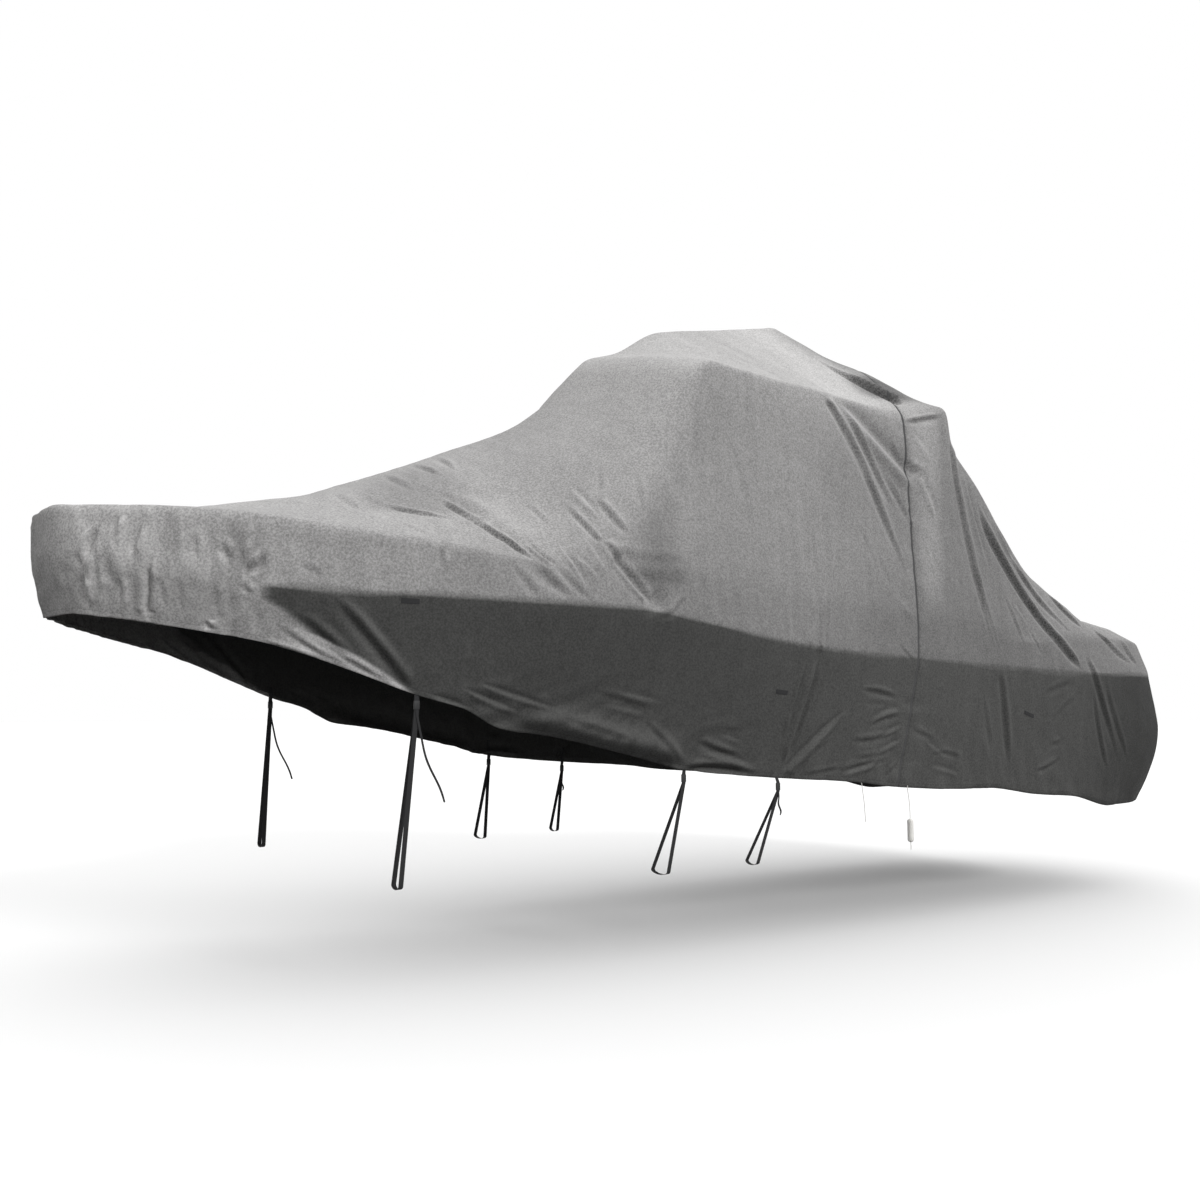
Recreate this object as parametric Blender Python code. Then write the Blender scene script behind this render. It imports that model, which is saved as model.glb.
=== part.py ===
"""Boat cover: one fitted grey cloth in two panels with a taped cross seam, webbing tabs,
strap loops with keepers at the hem and two white cord ties.

Every cloth shape comes from six lines that run from the stem round to the stern on one side.
A line's station is the distance along the rub rail from the stem. The cover is built in
metres with x aft from the stem, y outward and z up from the ground, and then moved so that
the origin is under the roof, where the cover is held up.
"""
import bpy
import bmesh
import numpy as np

HELD_AT = np.array((4.25, 0.0, 3.931))   # under the roof's ridge line
CLOTH = 0.002                            # thickness of the cloth
GAP = 0.0003                             # between pieces that touch

STERN = 9.18                             # last station, on the centre line
SEAM = 5.40                              # station of the cross seam
ROWS = 8.0                               # girth rows: 0 at the spine, 8 at the hem

# Lines of the form, one row for each section: station, x, y (half breadth), z
SPINE = np.array([
    (0.00, 0.55, 0, 2.290), (0.50, 0.72, 0, 2.310), (0.87, 0.92, 0, 2.345),
    (1.23, 1.20, 0, 2.430), (1.66, 1.50, 0, 2.540), (2.12, 1.85, 0, 2.685),
    (2.57, 2.20, 0, 2.830), (3.10, 2.61, 0, 3.020), (3.45, 2.94, 0, 3.280),
    (3.70, 3.17, 0, 3.540), (3.90, 3.39, 0, 3.620), (4.20, 3.72, 0, 3.816),
    (4.66, 4.25, 0, 3.933), (5.00, 4.66, 0, 4.025), (5.12, 4.79, 0, 4.050),
    (5.40, 5.10, 0, 3.740), (5.75, 5.45, 0, 3.400), (6.20, 5.80, 0, 2.900),
    (6.70, 6.25, 0, 2.400), (7.20, 6.65, 0, 2.100), (7.89, 7.05, 0, 1.970),
    (9.18, 7.30, 0, 1.950)])
CROWN = np.array([
    (0.00, 0.40, 0.00, 2.278), (0.50, 0.55, 0.22, 2.280), (0.87, 0.78, 0.33, 2.325),
    (1.23, 1.08, 0.38, 2.395), (1.66, 1.42, 0.40, 2.480), (2.12, 1.80, 0.42, 2.600),
    (2.57, 2.16, 0.46, 2.700), (3.10, 2.60, 0.50, 2.880), (3.45, 2.97, 0.50, 3.150),
    (3.70, 3.24, 0.50, 3.460), (4.20, 3.74, 0.50, 3.560), (5.12, 4.80, 0.45, 3.720),
    (5.40, 5.10, 0.45, 3.790), (5.75, 5.48, 0.55, 3.450), (6.20, 5.90, 0.50, 2.800),
    (6.70, 6.35, 0.50, 2.300), (7.20, 6.75, 0.50, 2.050), (7.89, 7.10, 0.45, 1.940),
    (9.18, 7.50, 0.00, 1.930)])
EDGE = np.array([
    (0.00, 0.20, 0.00, 2.265), (0.50, 0.33, 0.34, 2.262), (0.87, 0.60, 0.50, 2.260),
    (1.23, 0.92, 0.62, 2.280), (1.66, 1.30, 0.70, 2.300), (2.12, 1.72, 0.78, 2.300),
    (2.57, 2.10, 0.95, 2.220), (3.10, 2.62, 1.03, 2.440), (3.45, 2.98, 0.99, 2.860),
    (3.68, 3.30, 0.95, 3.300), (3.82, 3.45, 0.955, 3.345), (4.00, 3.63, 0.95, 3.330),
    (4.67, 4.32, 0.95, 3.293), (5.40, 5.05, 0.95, 3.256), (5.75, 5.46, 0.97, 3.360),
    (5.90, 5.50, 0.98, 3.140), (6.10, 5.73, 1.00, 2.860), (6.33, 5.93, 1.03, 2.560),
    (6.60, 6.16, 1.04, 2.300), (6.85, 6.35, 1.05, 2.190), (7.10, 6.55, 1.06, 2.080),
    (7.40, 6.77, 1.06, 1.950), (7.89, 7.15, 0.98, 1.930), (8.37, 7.40, 0.70, 1.930),
    (9.18, 7.65, 0.00, 1.910)])
RAIL = np.array([
    (0.00, -0.01, 0.00, 2.250), (0.26, 0.03, 0.24, 2.260), (0.50, 0.16, 0.44, 2.250),
    (0.87, 0.42, 0.67, 2.235), (1.23, 0.72, 0.86, 2.213), (1.66, 1.15, 1.01, 2.160),
    (2.12, 1.61, 1.10, 2.120), (2.57, 2.06, 1.15, 2.055), (3.10, 2.57, 1.19, 2.030),
    (3.70, 3.17, 1.205, 1.980), (4.50, 3.98, 1.205, 1.900), (5.40, 4.86, 1.205, 1.820),
    (6.50, 6.00, 1.205, 1.780), (7.35, 6.85, 1.185, 1.800), (7.89, 7.37, 1.11, 1.800),
    (8.37, 7.64, 0.75, 1.800), (9.18, 7.80, 0.00, 1.800)])
CREASE = np.array([
    (0.00, 0.00, 0.00, 2.030), (0.26, 0.045, 0.26, 2.020), (0.50, 0.16, 0.47, 2.000),
    (0.87, 0.43, 0.71, 1.950), (1.23, 0.75, 0.89, 1.885), (1.66, 1.15, 1.03, 1.862),
    (2.12, 1.60, 1.13, 1.857), (2.57, 2.05, 1.20, 1.847), (3.21, 2.69, 1.25, 1.835),
    (3.60, 3.07, 1.25, 1.787), (4.19, 3.65, 1.25, 1.703), (4.76, 4.20, 1.25, 1.656),
    (5.40, 4.81, 1.25, 1.628), (6.12, 5.58, 1.25, 1.593), (6.97, 6.45, 1.25, 1.568),
    (7.62, 7.10, 1.25, 1.556), (7.89, 7.38, 1.20, 1.554), (8.07, 7.54, 1.06, 1.550),
    (8.37, 7.70, 0.78, 1.550), (9.18, 7.85, 0.00, 1.550)])
HEM = np.array([
    (0.00, 0.06, 0.00, 1.755), (0.26, 0.13, 0.25, 1.761), (0.50, 0.24, 0.43, 1.741),
    (0.87, 0.45, 0.62, 1.701), (1.30, 0.84, 0.84, 1.626), (1.66, 1.19, 0.98, 1.510),
    (2.03, 1.52, 1.06, 1.387), (2.25, 1.75, 1.10, 1.321), (2.47, 1.94, 1.10, 1.228),
    (2.85, 2.29, 1.10, 1.170), (3.28, 2.70, 1.10, 1.080), (3.70, 3.08, 1.10, 0.991),
    (4.36, 3.71, 1.14, 0.929), (5.00, 4.31, 1.17, 0.886), (5.40, 4.66, 1.18, 0.843),
    (5.90, 5.22, 1.18, 0.809), (6.15, 5.52, 1.18, 0.804), (6.55, 6.00, 1.18, 0.745),
    (6.97, 6.45, 1.16, 0.711), (7.46, 6.94, 1.12, 0.623), (7.80, 7.28, 1.08, 0.626),
    (8.10, 7.54, 0.95, 0.660), (8.50, 7.72, 0.55, 0.690), (9.18, 7.82, 0.00, 0.700)])
# How far the skirt's middle swells past the straight line from crease to hem
SWELL = np.array([
    (0.00, 0.00, 0.00, 0.00), (7.20, 0.00, 0.02, 0.00), (7.60, 0.08, 0.05, -0.06),
    (7.89, 0.17, 0.05, -0.12), (8.37, 0.16, 0.02, -0.12), (9.18, 0.14, 0.00, -0.12)])
EDGE_ROUNDING = 0.045
RAIL_ROUNDING = 0.050
CREASE_ROUNDING = 0.030

# Main folds: station and girth row at the start, middle and end, then width and depth
# (a trough is negative, a ridge positive)
FOLDS = (
    (4.70, 1.90, 4.86, 2.65, 5.21, 3.20, 0.09, -0.045),  # fan from the roof edge, forward trough
    (4.89, 2.30, 5.14, 2.70, 5.45, 3.05, 0.09, -0.040),  # fan, aft trough
    (4.78, 2.20, 4.99, 2.65, 5.33, 3.15, 0.07, 0.035),   # fan, ridge between them
    (5.08, 0.60, 5.24, 1.00, 5.46, 1.50, 0.11, -0.050),  # trough under the roof's hip
    (3.74, 1.80, 3.68, 2.55, 3.64, 3.00, 0.14, 0.025),   # soft corner of the roof's front
    (2.20, 1.30, 2.48, 2.55, 2.66, 4.50, 0.11, -0.060),  # where the slope meets the foredeck
    (2.36, 1.20, 2.60, 2.05, 2.78, 4.00, 0.10, 0.035),   # ridge above it
    (2.92, 1.40, 2.94, 2.15, 3.02, 3.00, 0.09, -0.035),  # side of the slope
    (3.02, 1.30, 3.06, 2.60, 3.19, 3.30, 0.09, 0.030),
    (3.00, 3.15, 3.22, 3.75, 3.36, 6.00, 0.11, -0.045),  # hollow drawn to the crease
    (3.62, 3.50, 3.53, 4.10, 3.38, 6.00, 0.11, -0.040),
    (1.62, 6.10, 1.78, 7.30, 1.98, 7.90, 0.10, -0.030),  # drawn to the first strap
    (3.70, 7.90, 3.34, 7.80, 2.96, 7.60, 0.11, -0.022),  # drawn to the second strap
    (4.36, 7.90, 4.44, 7.40, 4.54, 5.00, 0.10, 0.030),   # ridge up from the third strap
    (6.10, 3.30, 6.15, 4.60, 6.28, 7.80, 0.12, -0.040),  # aft side
    (6.24, 2.85, 6.52, 3.05, 6.94, 5.20, 0.11, -0.055),  # along the aft slope
    (6.28, 2.60, 6.72, 2.75, 7.08, 4.60, 0.10, 0.035),
    (7.04, 5.60, 7.16, 7.20, 7.37, 7.70, 0.12, -0.040),  # stern quarter
    (7.30, 3.50, 7.46, 4.50, 7.70, 5.30, 0.10, -0.030),
    (8.30, 1.50, 8.40, 5.00, 8.35, 7.60, 0.16, -0.030),  # stern, plain
)
FAR_SIDE_SHIFT = -0.12                   # the starboard folds lie a little further forward
FAR_SIDE_DEPTH = 0.8
ROUTE_STEPS = 24

# Spacing of the stations: from, to, step
SPACING = ((0.0, 1.6, 0.16), (1.6, 3.5, 0.13), (3.5, 4.6, 0.18), (4.6, 5.6, 0.12),
           (5.6, 7.7, 0.16), (7.7, 9.1, 0.20))
HALF_ROWS = np.array((0, 0.4, 0.8, 1.2, 1.6, 1.8, 2.0, 2.3, 2.6, 2.8, 3.0, 3.2, 3.4, 3.7, 4.0,
                      4.4, 5.0, 5.6, 6.0, 6.3, 6.8, 7.2, 7.6, 8.0))

# Webbing and cords
WEBBING = 0.0015                         # thickness
WEBBING_WIDTH = 0.025
TAPE_HALF = 0.007
TAPE_THICK = 0.0012
TAPE_LIFT = 0.0011                       # over the faceted cloth
TAB_LENGTH = 0.088
# Tabs: station and girth row of the centre, and the fall of the aft end
TABS = ((1.98, 6.40, 0.0), (4.27, 7.20, 0.0), (6.43, 7.20, 0.010))
# Strap loops: station at the hem, then x, y and z of the bottom turn and the loop's depth there
STRAPS = ((2.03, 1.466, 0.99, 0.483, 0.080), (3.70, 2.978, 1.02, 0.437, 0.140),
          (4.36, 3.594, 1.06, 0.446, 0.095))
STRAP_ROWS = (7.93, 7.96, 7.995)         # girth rows where webbing and cords are sewn inside
SEWN_CLEAR = 0.0012                      # inside the faceted cloth
LEG_STEPS = 5
TURN_DROP = 0.020                        # depth of the bottom turn
KEEPER = (0.0022, 0.040)                 # wall and height of the keeper
KEEPER_DROP = 0.030                      # from the hem to the keeper
KEEPER_CLEAR = 0.004                     # straight webbing past the keeper's ends
# Loose tails: strap number, how far the free end sways aft, and its drop
TAILS = ((1, 0.15, 0.44), (3, 0.01, 0.14))
TAIL = (0.012, 0.0012)                   # width and thickness
TAIL_STEPS = 12
TAIL_WAVE = 0.010
# White ties: station at the hem, then x and z of the lower end
TIES = ((5.06, 4.392, 0.648), (5.49, 4.772, 0.646))
TIE_BOW = 0.004
CORD = 0.005                             # diameter
CORD_STEPS = 14
WINDING = (0.020, 0.140)                 # radius and length of the wound part
FREE_END = 0.045                         # cord below the wound part

GREY = ("cover_cloth", (0.235, 0.232, 0.228), 0.85)
BLACK = ("black_webbing", (0.018, 0.018, 0.019), 0.75)
TAPE_GREY = ("seam_tape", (0.085, 0.085, 0.086), 0.80)
WHITE = ("white_cord", (0.72, 0.71, 0.68), 0.70)
DARK_PLASTIC = ("keeper_plastic", (0.025, 0.025, 0.026), 0.50)


def through(rows, at):
    """Smooth curve through a line's rows, with no overshoot, at the given stations."""
    station, point = rows[:, 0], rows[:, 1:]
    slope = np.diff(point, axis=0) / np.diff(station)[:, None]
    before, after = slope[:-1], slope[1:]
    same_way = before * after > 0
    middle = np.where(same_way, 2 * before * after / np.where(same_way, before + after, 1), 0)
    tangent = np.concatenate([slope[:1], middle, slope[-1:]])
    k = np.clip(np.searchsorted(station, at, side="right") - 1, 0, len(station) - 2)
    span = (station[k + 1] - station[k])[:, None]
    t = (at - station[k])[:, None] / span
    return ((2 * t**3 - 3 * t**2 + 1) * point[k] + (t**3 - 2 * t**2 + t) * span * tangent[k]
            + (3 * t**2 - 2 * t**3) * point[k + 1] + (t**3 - t**2) * span * tangent[k + 1])


def toward(start, goal, distance):
    """Points a set distance from start on the way to goal."""
    way = goal - start
    length = np.maximum(np.linalg.norm(way, axis=-1, keepdims=True), 1e-6)
    return start + way * distance / length


def form(station, row):
    """The cover without folds: quadratic B-spline across the lines at each station."""
    spine, crown, edge, rail, crease, hem = (
        through(line, station) for line in (SPINE, CROWN, EDGE, RAIL, CREASE, HEM))
    net = np.stack([
        spine, crown, toward(edge, crown, EDGE_ROUNDING), toward(edge, rail, EDGE_ROUNDING),
        toward(rail, edge, RAIL_ROUNDING), toward(rail, crease, RAIL_ROUNDING),
        toward(crease, rail, CREASE_ROUNDING), toward(crease, hem, CREASE_ROUNDING),
        (crease + hem) / 2 + through(SWELL, station), hem])
    here = np.arange(len(station))
    last = len(net) - 3
    k = np.clip(np.floor(row).astype(int), 0, last)
    t = (row - k)[:, None]
    start = np.where((k == 0)[:, None], net[k, here], (net[k, here] + net[k + 1, here]) / 2)
    end = np.where((k == last)[:, None], net[k + 2, here],
                   (net[k + 1, here] + net[k + 2, here]) / 2)
    return (1 - t)**2 * start + 2 * t * (1 - t) * net[k + 1, here] + t**2 * end


def fold_depths(point, shift):
    """How far the folds of one side lift or sink each point."""
    t = (np.arange(ROUTE_STEPS) + 0.5) / ROUTE_STEPS
    taper = np.sin(np.pi * t)**0.6
    total = np.zeros(len(point))
    for s0, v0, s1, v1, s2, v2, width, depth in FOLDS:
        bend = (2 * s1 - (s0 + s2) / 2, 2 * v1 - (v0 + v2) / 2)
        station = (1 - t)**2 * s0 + 2 * t * (1 - t) * bend[0] + t**2 * s2 + shift
        row = (1 - t)**2 * v0 + 2 * t * (1 - t) * bend[1] + t**2 * v2
        route = form(np.clip(station, 0, STERN), np.clip(row, 0, ROWS))
        away = np.linalg.norm(point[:, None] - route[None], axis=-1)
        total += depth * np.max(taper * np.exp(-(away / width)**2), axis=1)
    return total


def outward(grid):
    """Unit normals of a grid of points that closes on itself at the stem and the stern."""
    face = np.cross(grid[1:, 1:] - grid[:-1, :-1], grid[:-1, 1:] - grid[1:, :-1])
    normal = np.zeros_like(grid)
    for i in (slice(None, -1), slice(1, None)):
        for j in (slice(None, -1), slice(1, None)):
            normal[i, j] += face
    for end in (0, -1):
        normal[end] += normal[end, ::-1].copy()
    return normal / np.linalg.norm(normal, axis=-1, keepdims=True)


class Cover:
    """The cloth as a grid: stations along it, rows from the port hem to the starboard hem."""

    def __init__(self, station, half_rows):
        self.station = station
        self.row = np.concatenate([-half_rows[:0:-1], half_rows])
        s, v = np.meshgrid(station, self.row, indexing="ij")
        flat = form(s.ravel(), np.abs(v.ravel()))
        flat[:, 1] *= np.where(v.ravel() < 0, -1, 1)
        base = flat.reshape(*s.shape, 3)
        normal = outward(base)
        half = len(half_rows) - 1
        port = np.stack([flat[:, 0], np.abs(flat[:, 1]), flat[:, 2]], axis=1)
        depth = np.where(v.ravel() < 0, fold_depths(port, 0.0),
                         FAR_SIDE_DEPTH * fold_depths(port, FAR_SIDE_SHIFT)).reshape(s.shape)
        fade = np.clip(np.abs(v) / 0.5, 0, 1) * np.clip(s / 0.4, 0, 1)
        fade *= np.clip((STERN - s) / 0.4, 0, 1)
        self.outer = base + normal * (depth * fade)[..., None]
        self.outer[:, half, 1] = 0
        self.normal = outward(self.outer)
        self.inner = self.outer - self.normal * CLOTH

    def at(self, station, row, off=0.0, inside=False):
        """A point on the cloth's own facets, moved off it along its normal."""
        i = int(np.clip(np.searchsorted(self.station, station) - 1, 0, len(self.station) - 2))
        j = int(np.clip(np.searchsorted(self.row, row) - 1, 0, len(self.row) - 2))
        a = (station - self.station[i]) / (self.station[i + 1] - self.station[i])
        b = (row - self.row[j]) / (self.row[j + 1] - self.row[j])
        weight = np.array([[(1 - a) * (1 - b), (1 - a) * b], [a * (1 - b), a * b]])[..., None]
        cell = (slice(i, i + 2), slice(j, j + 2))
        skin = self.inner if inside else self.outer
        normal = (self.normal[cell] * weight).sum((0, 1))
        normal /= np.linalg.norm(normal)
        return (skin[cell] * weight).sum((0, 1)) + normal * off, normal


def material(finish):
    """A Principled material from its name, colour and roughness."""
    name, colour, roughness = finish
    found = bpy.data.materials.get(name)
    if found:
        return found
    made = bpy.data.materials.new(name)
    made.use_nodes = True
    shader = made.node_tree.nodes["Principled BSDF"]
    shader.inputs["Base Color"].default_value = (*colour, 1.0)
    shader.inputs["Roughness"].default_value = roughness
    shader.inputs["Metallic"].default_value = 0.0
    return made


def finish_object(name, bm, finish):
    """Turn a bmesh into a named object with outward faces."""
    bmesh.ops.recalc_face_normals(bm, faces=bm.faces[:])
    mesh = bpy.data.meshes.new(name)
    bm.to_mesh(mesh)
    bm.free()
    mesh.materials.append(material(finish))
    mesh.shade_smooth()
    mesh.set_sharp_from_angle(angle=0.7)
    item = bpy.data.objects.new(name, mesh)
    bpy.context.scene.collection.objects.link(item)
    return item


def slab(name, outer, inner, finish, zipped=()):
    """A closed sheet between two equal grids; it has no wall on the columns that are zipped."""
    count = outer.shape[:2]
    bm = bmesh.new()
    bmesh.ops.create_grid(bm, x_segments=count[0] - 1, y_segments=count[1] - 1, size=1)
    along = bm.verts.layers.int.new("along")
    across = bm.verts.layers.int.new("across")
    for vert in bm.verts:
        vert[along] = round((vert.co.x + 1) / 2 * (count[0] - 1))
        vert[across] = round((vert.co.y + 1) / 2 * (count[1] - 1))
    first = set(bm.verts)
    bmesh.ops.extrude_face_region(bm, geom=bm.faces[:], use_keep_orig=True)
    for vert in bm.verts:
        skin = outer if vert in first else inner
        vert.co = skin[vert[along], vert[across]] - HELD_AT
    for column in zipped:
        wall = [face for face in bm.faces if all(vert[along] == column for vert in face.verts)]
        bmesh.ops.delete(bm, geom=wall, context="FACES_ONLY")
    bmesh.ops.remove_doubles(bm, verts=bm.verts[:], dist=1e-5)
    return finish_object(name, bm, finish)


def stations():
    """Stations closer together where the folds are, and beside each seam, tab, strap and tie."""
    close = 0.055
    even = np.concatenate([np.arange(start, end, step) for start, end, step in SPACING])
    extra = [SEAM - 0.009, SEAM - GAP, SEAM + GAP, SEAM + 0.009]
    for centre in [tab[0] for tab in TABS]:
        extra += [centre - close, centre + close]
    for centre in [hung[0] for hung in STRAPS + TIES]:
        extra += [centre - close / 2, centre + close / 2]
    far = [s for s in even if min(abs(s - e) for e in extra) > 0.05]
    return np.array(sorted(far + extra + [STERN]))


def panels(cover):
    """The two cloth panels, a gap apart at the cross seam."""
    cut = int(np.searchsorted(cover.station, SEAM))
    last = len(cover.station) - 1 - cut
    slab("front_panel", cover.outer[:cut], cover.inner[:cut], GREY, zipped=(0,))
    slab("aft_panel", cover.outer[cut:], cover.inner[cut:], GREY, zipped=(last,))


def seam_tape(cover):
    """Tape over the cross seam from hem to hem, following both panels."""
    sides = (SEAM - TAPE_HALF, SEAM, SEAM + TAPE_HALF)
    under = np.array([[cover.at(s, v, TAPE_LIFT)[0] for v in cover.row] for s in sides])
    over = np.array([[cover.at(s, v, TAPE_LIFT + TAPE_THICK)[0] for v in cover.row]
                     for s in sides])
    slab("seam_tape", over, under, TAPE_GREY)


def tabs(cover):
    """Short webbing tabs sewn flat to the skirt on both sides."""
    for side, sign in (("port", -1), ("starboard", 1)):
        for number, (station, row, fall) in enumerate(TABS, 1):
            middle, normal = cover.at(station, sign * row)
            along = cover.at(station + 0.04, sign * row)[0] - cover.at(station - 0.04, sign * row)[0]
            along[2] -= fall
            along /= np.linalg.norm(along)
            down = np.cross(normal, along)
            corner = np.array([[middle + along * a * TAB_LENGTH / 2 + down * b * WEBBING_WIDTH / 2
                                for b in (-1, 1)] for a in (-1, 1)])
            slab(f"tab_{side}_{number}", corner + normal * (GAP * 2 + WEBBING),
                 corner + normal * GAP * 2, BLACK)


def ribbon(name, path, across, width, thickness):
    """Black webbing along a path, with its width along the direction given for each point."""
    path, across = np.array(path), np.array(across)
    tangent = np.gradient(path, axis=0)
    face = np.cross(tangent, across)
    face /= np.linalg.norm(face, axis=-1, keepdims=True)
    sides = np.stack([path - across * width / 2, path + across * width / 2], axis=1)
    lift = face[:, None] * thickness / 2
    slab(name, sides + lift, sides - lift, BLACK)


def sleeve(name, middle, room, size):
    """A keeper: a flat sleeve with room for both legs of a strap."""
    width, height, wall = size
    turns = np.array(((-1, -1), (1, -1), (1, 1), (-1, 1), (-1, -1)))
    rings = []
    for grow in (wall, 0.0):
        reach = np.array((width / 2 + grow, room + grow))
        rings.append(np.array([[middle + (*(turn * reach), z) for z in (-height / 2, height / 2)]
                               for turn in turns]))
    slab(name, rings[0], rings[1], DARK_PLASTIC, zipped=(0, len(turns) - 1))


def hem_point(cover, station, sign, row, depth):
    """A point a set depth inside the cloth near the hem, and the hem's own direction."""
    point, normal = cover.at(station, sign * row, -depth, inside=True)
    ahead = cover.at(station + 0.01, sign * row, -depth, inside=True)[0]
    along = (ahead - point) / np.linalg.norm(ahead - point)
    return point, along


def strap_loops(cover):
    """Webbing loops from inside the hem: down the outer leg, round and up the inner leg."""
    aft = np.array((1.0, 0.0, 0.0))
    down = np.array((0.0, 0.0, -1.0))
    spread = WEBBING / 2 + GAP
    for side, sign in (("port", -1), ("starboard", 1)):
        out = np.array((0.0, sign, 0.0))
        for number, (station, x, y, z, depth) in enumerate(STRAPS, 1):
            name = f"{side}_{number}"
            sewn = [hem_point(cover, station, sign, row, WEBBING / 2 + SEWN_CLEAR)
                    for row in STRAP_ROWS]
            keeper = sewn[-1][0] + down * (KEEPER_DROP + KEEPER[1] / 2)
            above = keeper - down * (KEEPER[1] / 2 + KEEPER_CLEAR)
            below = keeper + down * (KEEPER[1] / 2 + KEEPER_CLEAR)
            bottom = np.array((x, sign * y, z + TURN_DROP))
            outer_low = bottom + out * depth / 2
            inner_low = bottom - out * depth / 2
            legs = np.linspace(0, 1, LEG_STEPS)[:, None]
            path = [above + out * spread, *(below + out * spread
                                            + (outer_low - below - out * spread) * legs)]
            path += [bottom + out * depth / 2 * np.cos(a) + down * TURN_DROP * np.sin(a)
                     for a in np.linspace(0, np.pi, 9)[1:-1]]
            path += [*(inner_low + (below - out * spread - inner_low) * legs),
                     above - out * spread]
            path = [point for point, _ in sewn] + path
            across = [along for _, along in sewn] + [aft] * (len(path) - len(sewn))
            ribbon(f"strap_{name}", path, across, WEBBING_WIDTH, WEBBING)
            room = spread + WEBBING / 2 + GAP
            sleeve(f"keeper_{name}", keeper, room,
                   (WEBBING_WIDTH + 2 * GAP, KEEPER[1], KEEPER[0]))
            for tail, sway, drop in TAILS:
                if tail == number:
                    top = keeper + out * (room + KEEPER[0] / 2) + down * (KEEPER[1] / 2 + GAP)
                    hanging_tail(f"tail_{name}", top, sway, drop)


def hanging_tail(name, top, sway, drop):
    """The loose end of a strap, hanging in slight waves below its keeper."""
    t = np.linspace(0, 1, TAIL_STEPS)
    path = top + np.stack([sway * t**1.5 + TAIL_WAVE * np.sin(3 * np.pi * t) * t,
                           np.zeros(TAIL_STEPS), -drop * t], axis=1)
    ribbon(name, path, [np.array((1.0, 0.0, 0.0))] * TAIL_STEPS, *TAIL)


def cord(name, points):
    """A thin white cord: a round curve through a smooth route."""
    data = bpy.data.curves.new(name, "CURVE")
    data.dimensions = "3D"
    data.bevel_depth = CORD / 2
    data.bevel_resolution = 2
    data.use_fill_caps = True
    data.materials.append(material(WHITE))
    spline = data.splines.new("POLY")
    spline.points.add(len(points) - 1)
    for point, place in zip(spline.points, points):
        point.co = (*(place - HELD_AT), 1.0)
    item = bpy.data.objects.new(name, data)
    bpy.context.scene.collection.objects.link(item)


def white_ties(cover):
    """Two white cords from inside the port hem; the aft one has a wound part and a free end."""
    depth = CORD / 2 + SEWN_CLEAR
    for number, (station, x, z) in enumerate(TIES, 1):
        high = hem_point(cover, station, -1, STRAP_ROWS[0], depth)[0]
        low = hem_point(cover, station, -1, STRAP_ROWS[-1], depth)[0]
        end = np.array((x, low[1], z))
        t = np.linspace(0, 1, CORD_STEPS)[:, None]
        hang = low + (end - low) * t
        hang[:, 0] += TIE_BOW * np.sin(np.pi * t[:, 0])
        cord(f"white_tie_{number}", [high, *hang])
    radius, length = WINDING
    centre = end + (0, 0, -GAP - length / 2)
    bm = bmesh.new()
    bmesh.ops.create_cone(bm, cap_ends=True, segments=16, radius1=radius, radius2=radius,
                          depth=length)
    rims = [edge for edge in bm.edges if abs(edge.verts[0].co.z - edge.verts[1].co.z) < 1e-6]
    bmesh.ops.bevel(bm, geom=rims, offset=radius * 0.6, segments=3, affect="EDGES")
    for vert in bm.verts:
        vert.co.x += centre[0] - HELD_AT[0]
        vert.co.y += centre[1] - HELD_AT[1]
        vert.co.z += centre[2] - HELD_AT[2]
    finish_object("tie_winding", bm, WHITE)
    start = centre + (0, 0, -length / 2 - GAP)
    cord("tie_free_end", [start, start + (0.002, 0, -FREE_END / 2), start + (0, 0, -FREE_END)])


for item in list(bpy.data.objects):
    bpy.data.objects.remove(item, do_unlink=True)
cloth = Cover(stations(), HALF_ROWS)
panels(cloth)
seam_tape(cloth)
tabs(cloth)
strap_loops(cloth)
white_ties(cloth)
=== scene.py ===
from math import cos, pi, radians, sin
import bmesh
import bpy
import numpy as np
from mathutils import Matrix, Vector, noise
from numpy.linalg import norm


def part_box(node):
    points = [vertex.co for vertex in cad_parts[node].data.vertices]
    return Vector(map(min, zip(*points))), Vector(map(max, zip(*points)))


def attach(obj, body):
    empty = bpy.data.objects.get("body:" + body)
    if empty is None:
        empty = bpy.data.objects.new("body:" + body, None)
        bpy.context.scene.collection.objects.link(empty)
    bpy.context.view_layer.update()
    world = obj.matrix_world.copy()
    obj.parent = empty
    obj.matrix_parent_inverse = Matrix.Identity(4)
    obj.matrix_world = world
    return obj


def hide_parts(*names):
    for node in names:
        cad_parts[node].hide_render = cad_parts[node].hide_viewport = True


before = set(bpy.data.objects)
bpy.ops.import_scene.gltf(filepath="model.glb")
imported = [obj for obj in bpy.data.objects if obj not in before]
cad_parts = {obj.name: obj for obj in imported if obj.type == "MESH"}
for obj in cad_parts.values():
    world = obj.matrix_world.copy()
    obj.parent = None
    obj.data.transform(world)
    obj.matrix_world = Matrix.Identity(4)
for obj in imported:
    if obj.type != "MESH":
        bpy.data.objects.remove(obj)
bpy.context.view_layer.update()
scene = bpy.context.scene

# ---- The view ----
# A low three-quarter view of the port bow from about six metres, level with the hem, through a
# 35 mm lens.
camera_data = bpy.data.cameras.new("view_camera")
camera_data.sensor_width = 36.0
camera_data.lens = 35.01
camera = bpy.data.objects.new("view_camera", camera_data)
scene.collection.objects.link(camera)
camera.location = (-5.0967, -6.1091, -2.591)
TURN, TILT = radians(56.0), radians(5.14)
sight = Vector((cos(TILT) * cos(TURN), cos(TILT) * sin(TURN), sin(TILT)))
camera.rotation_euler = sight.to_track_quat("-Z", "Y").to_euler()
scene.camera = camera


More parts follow.
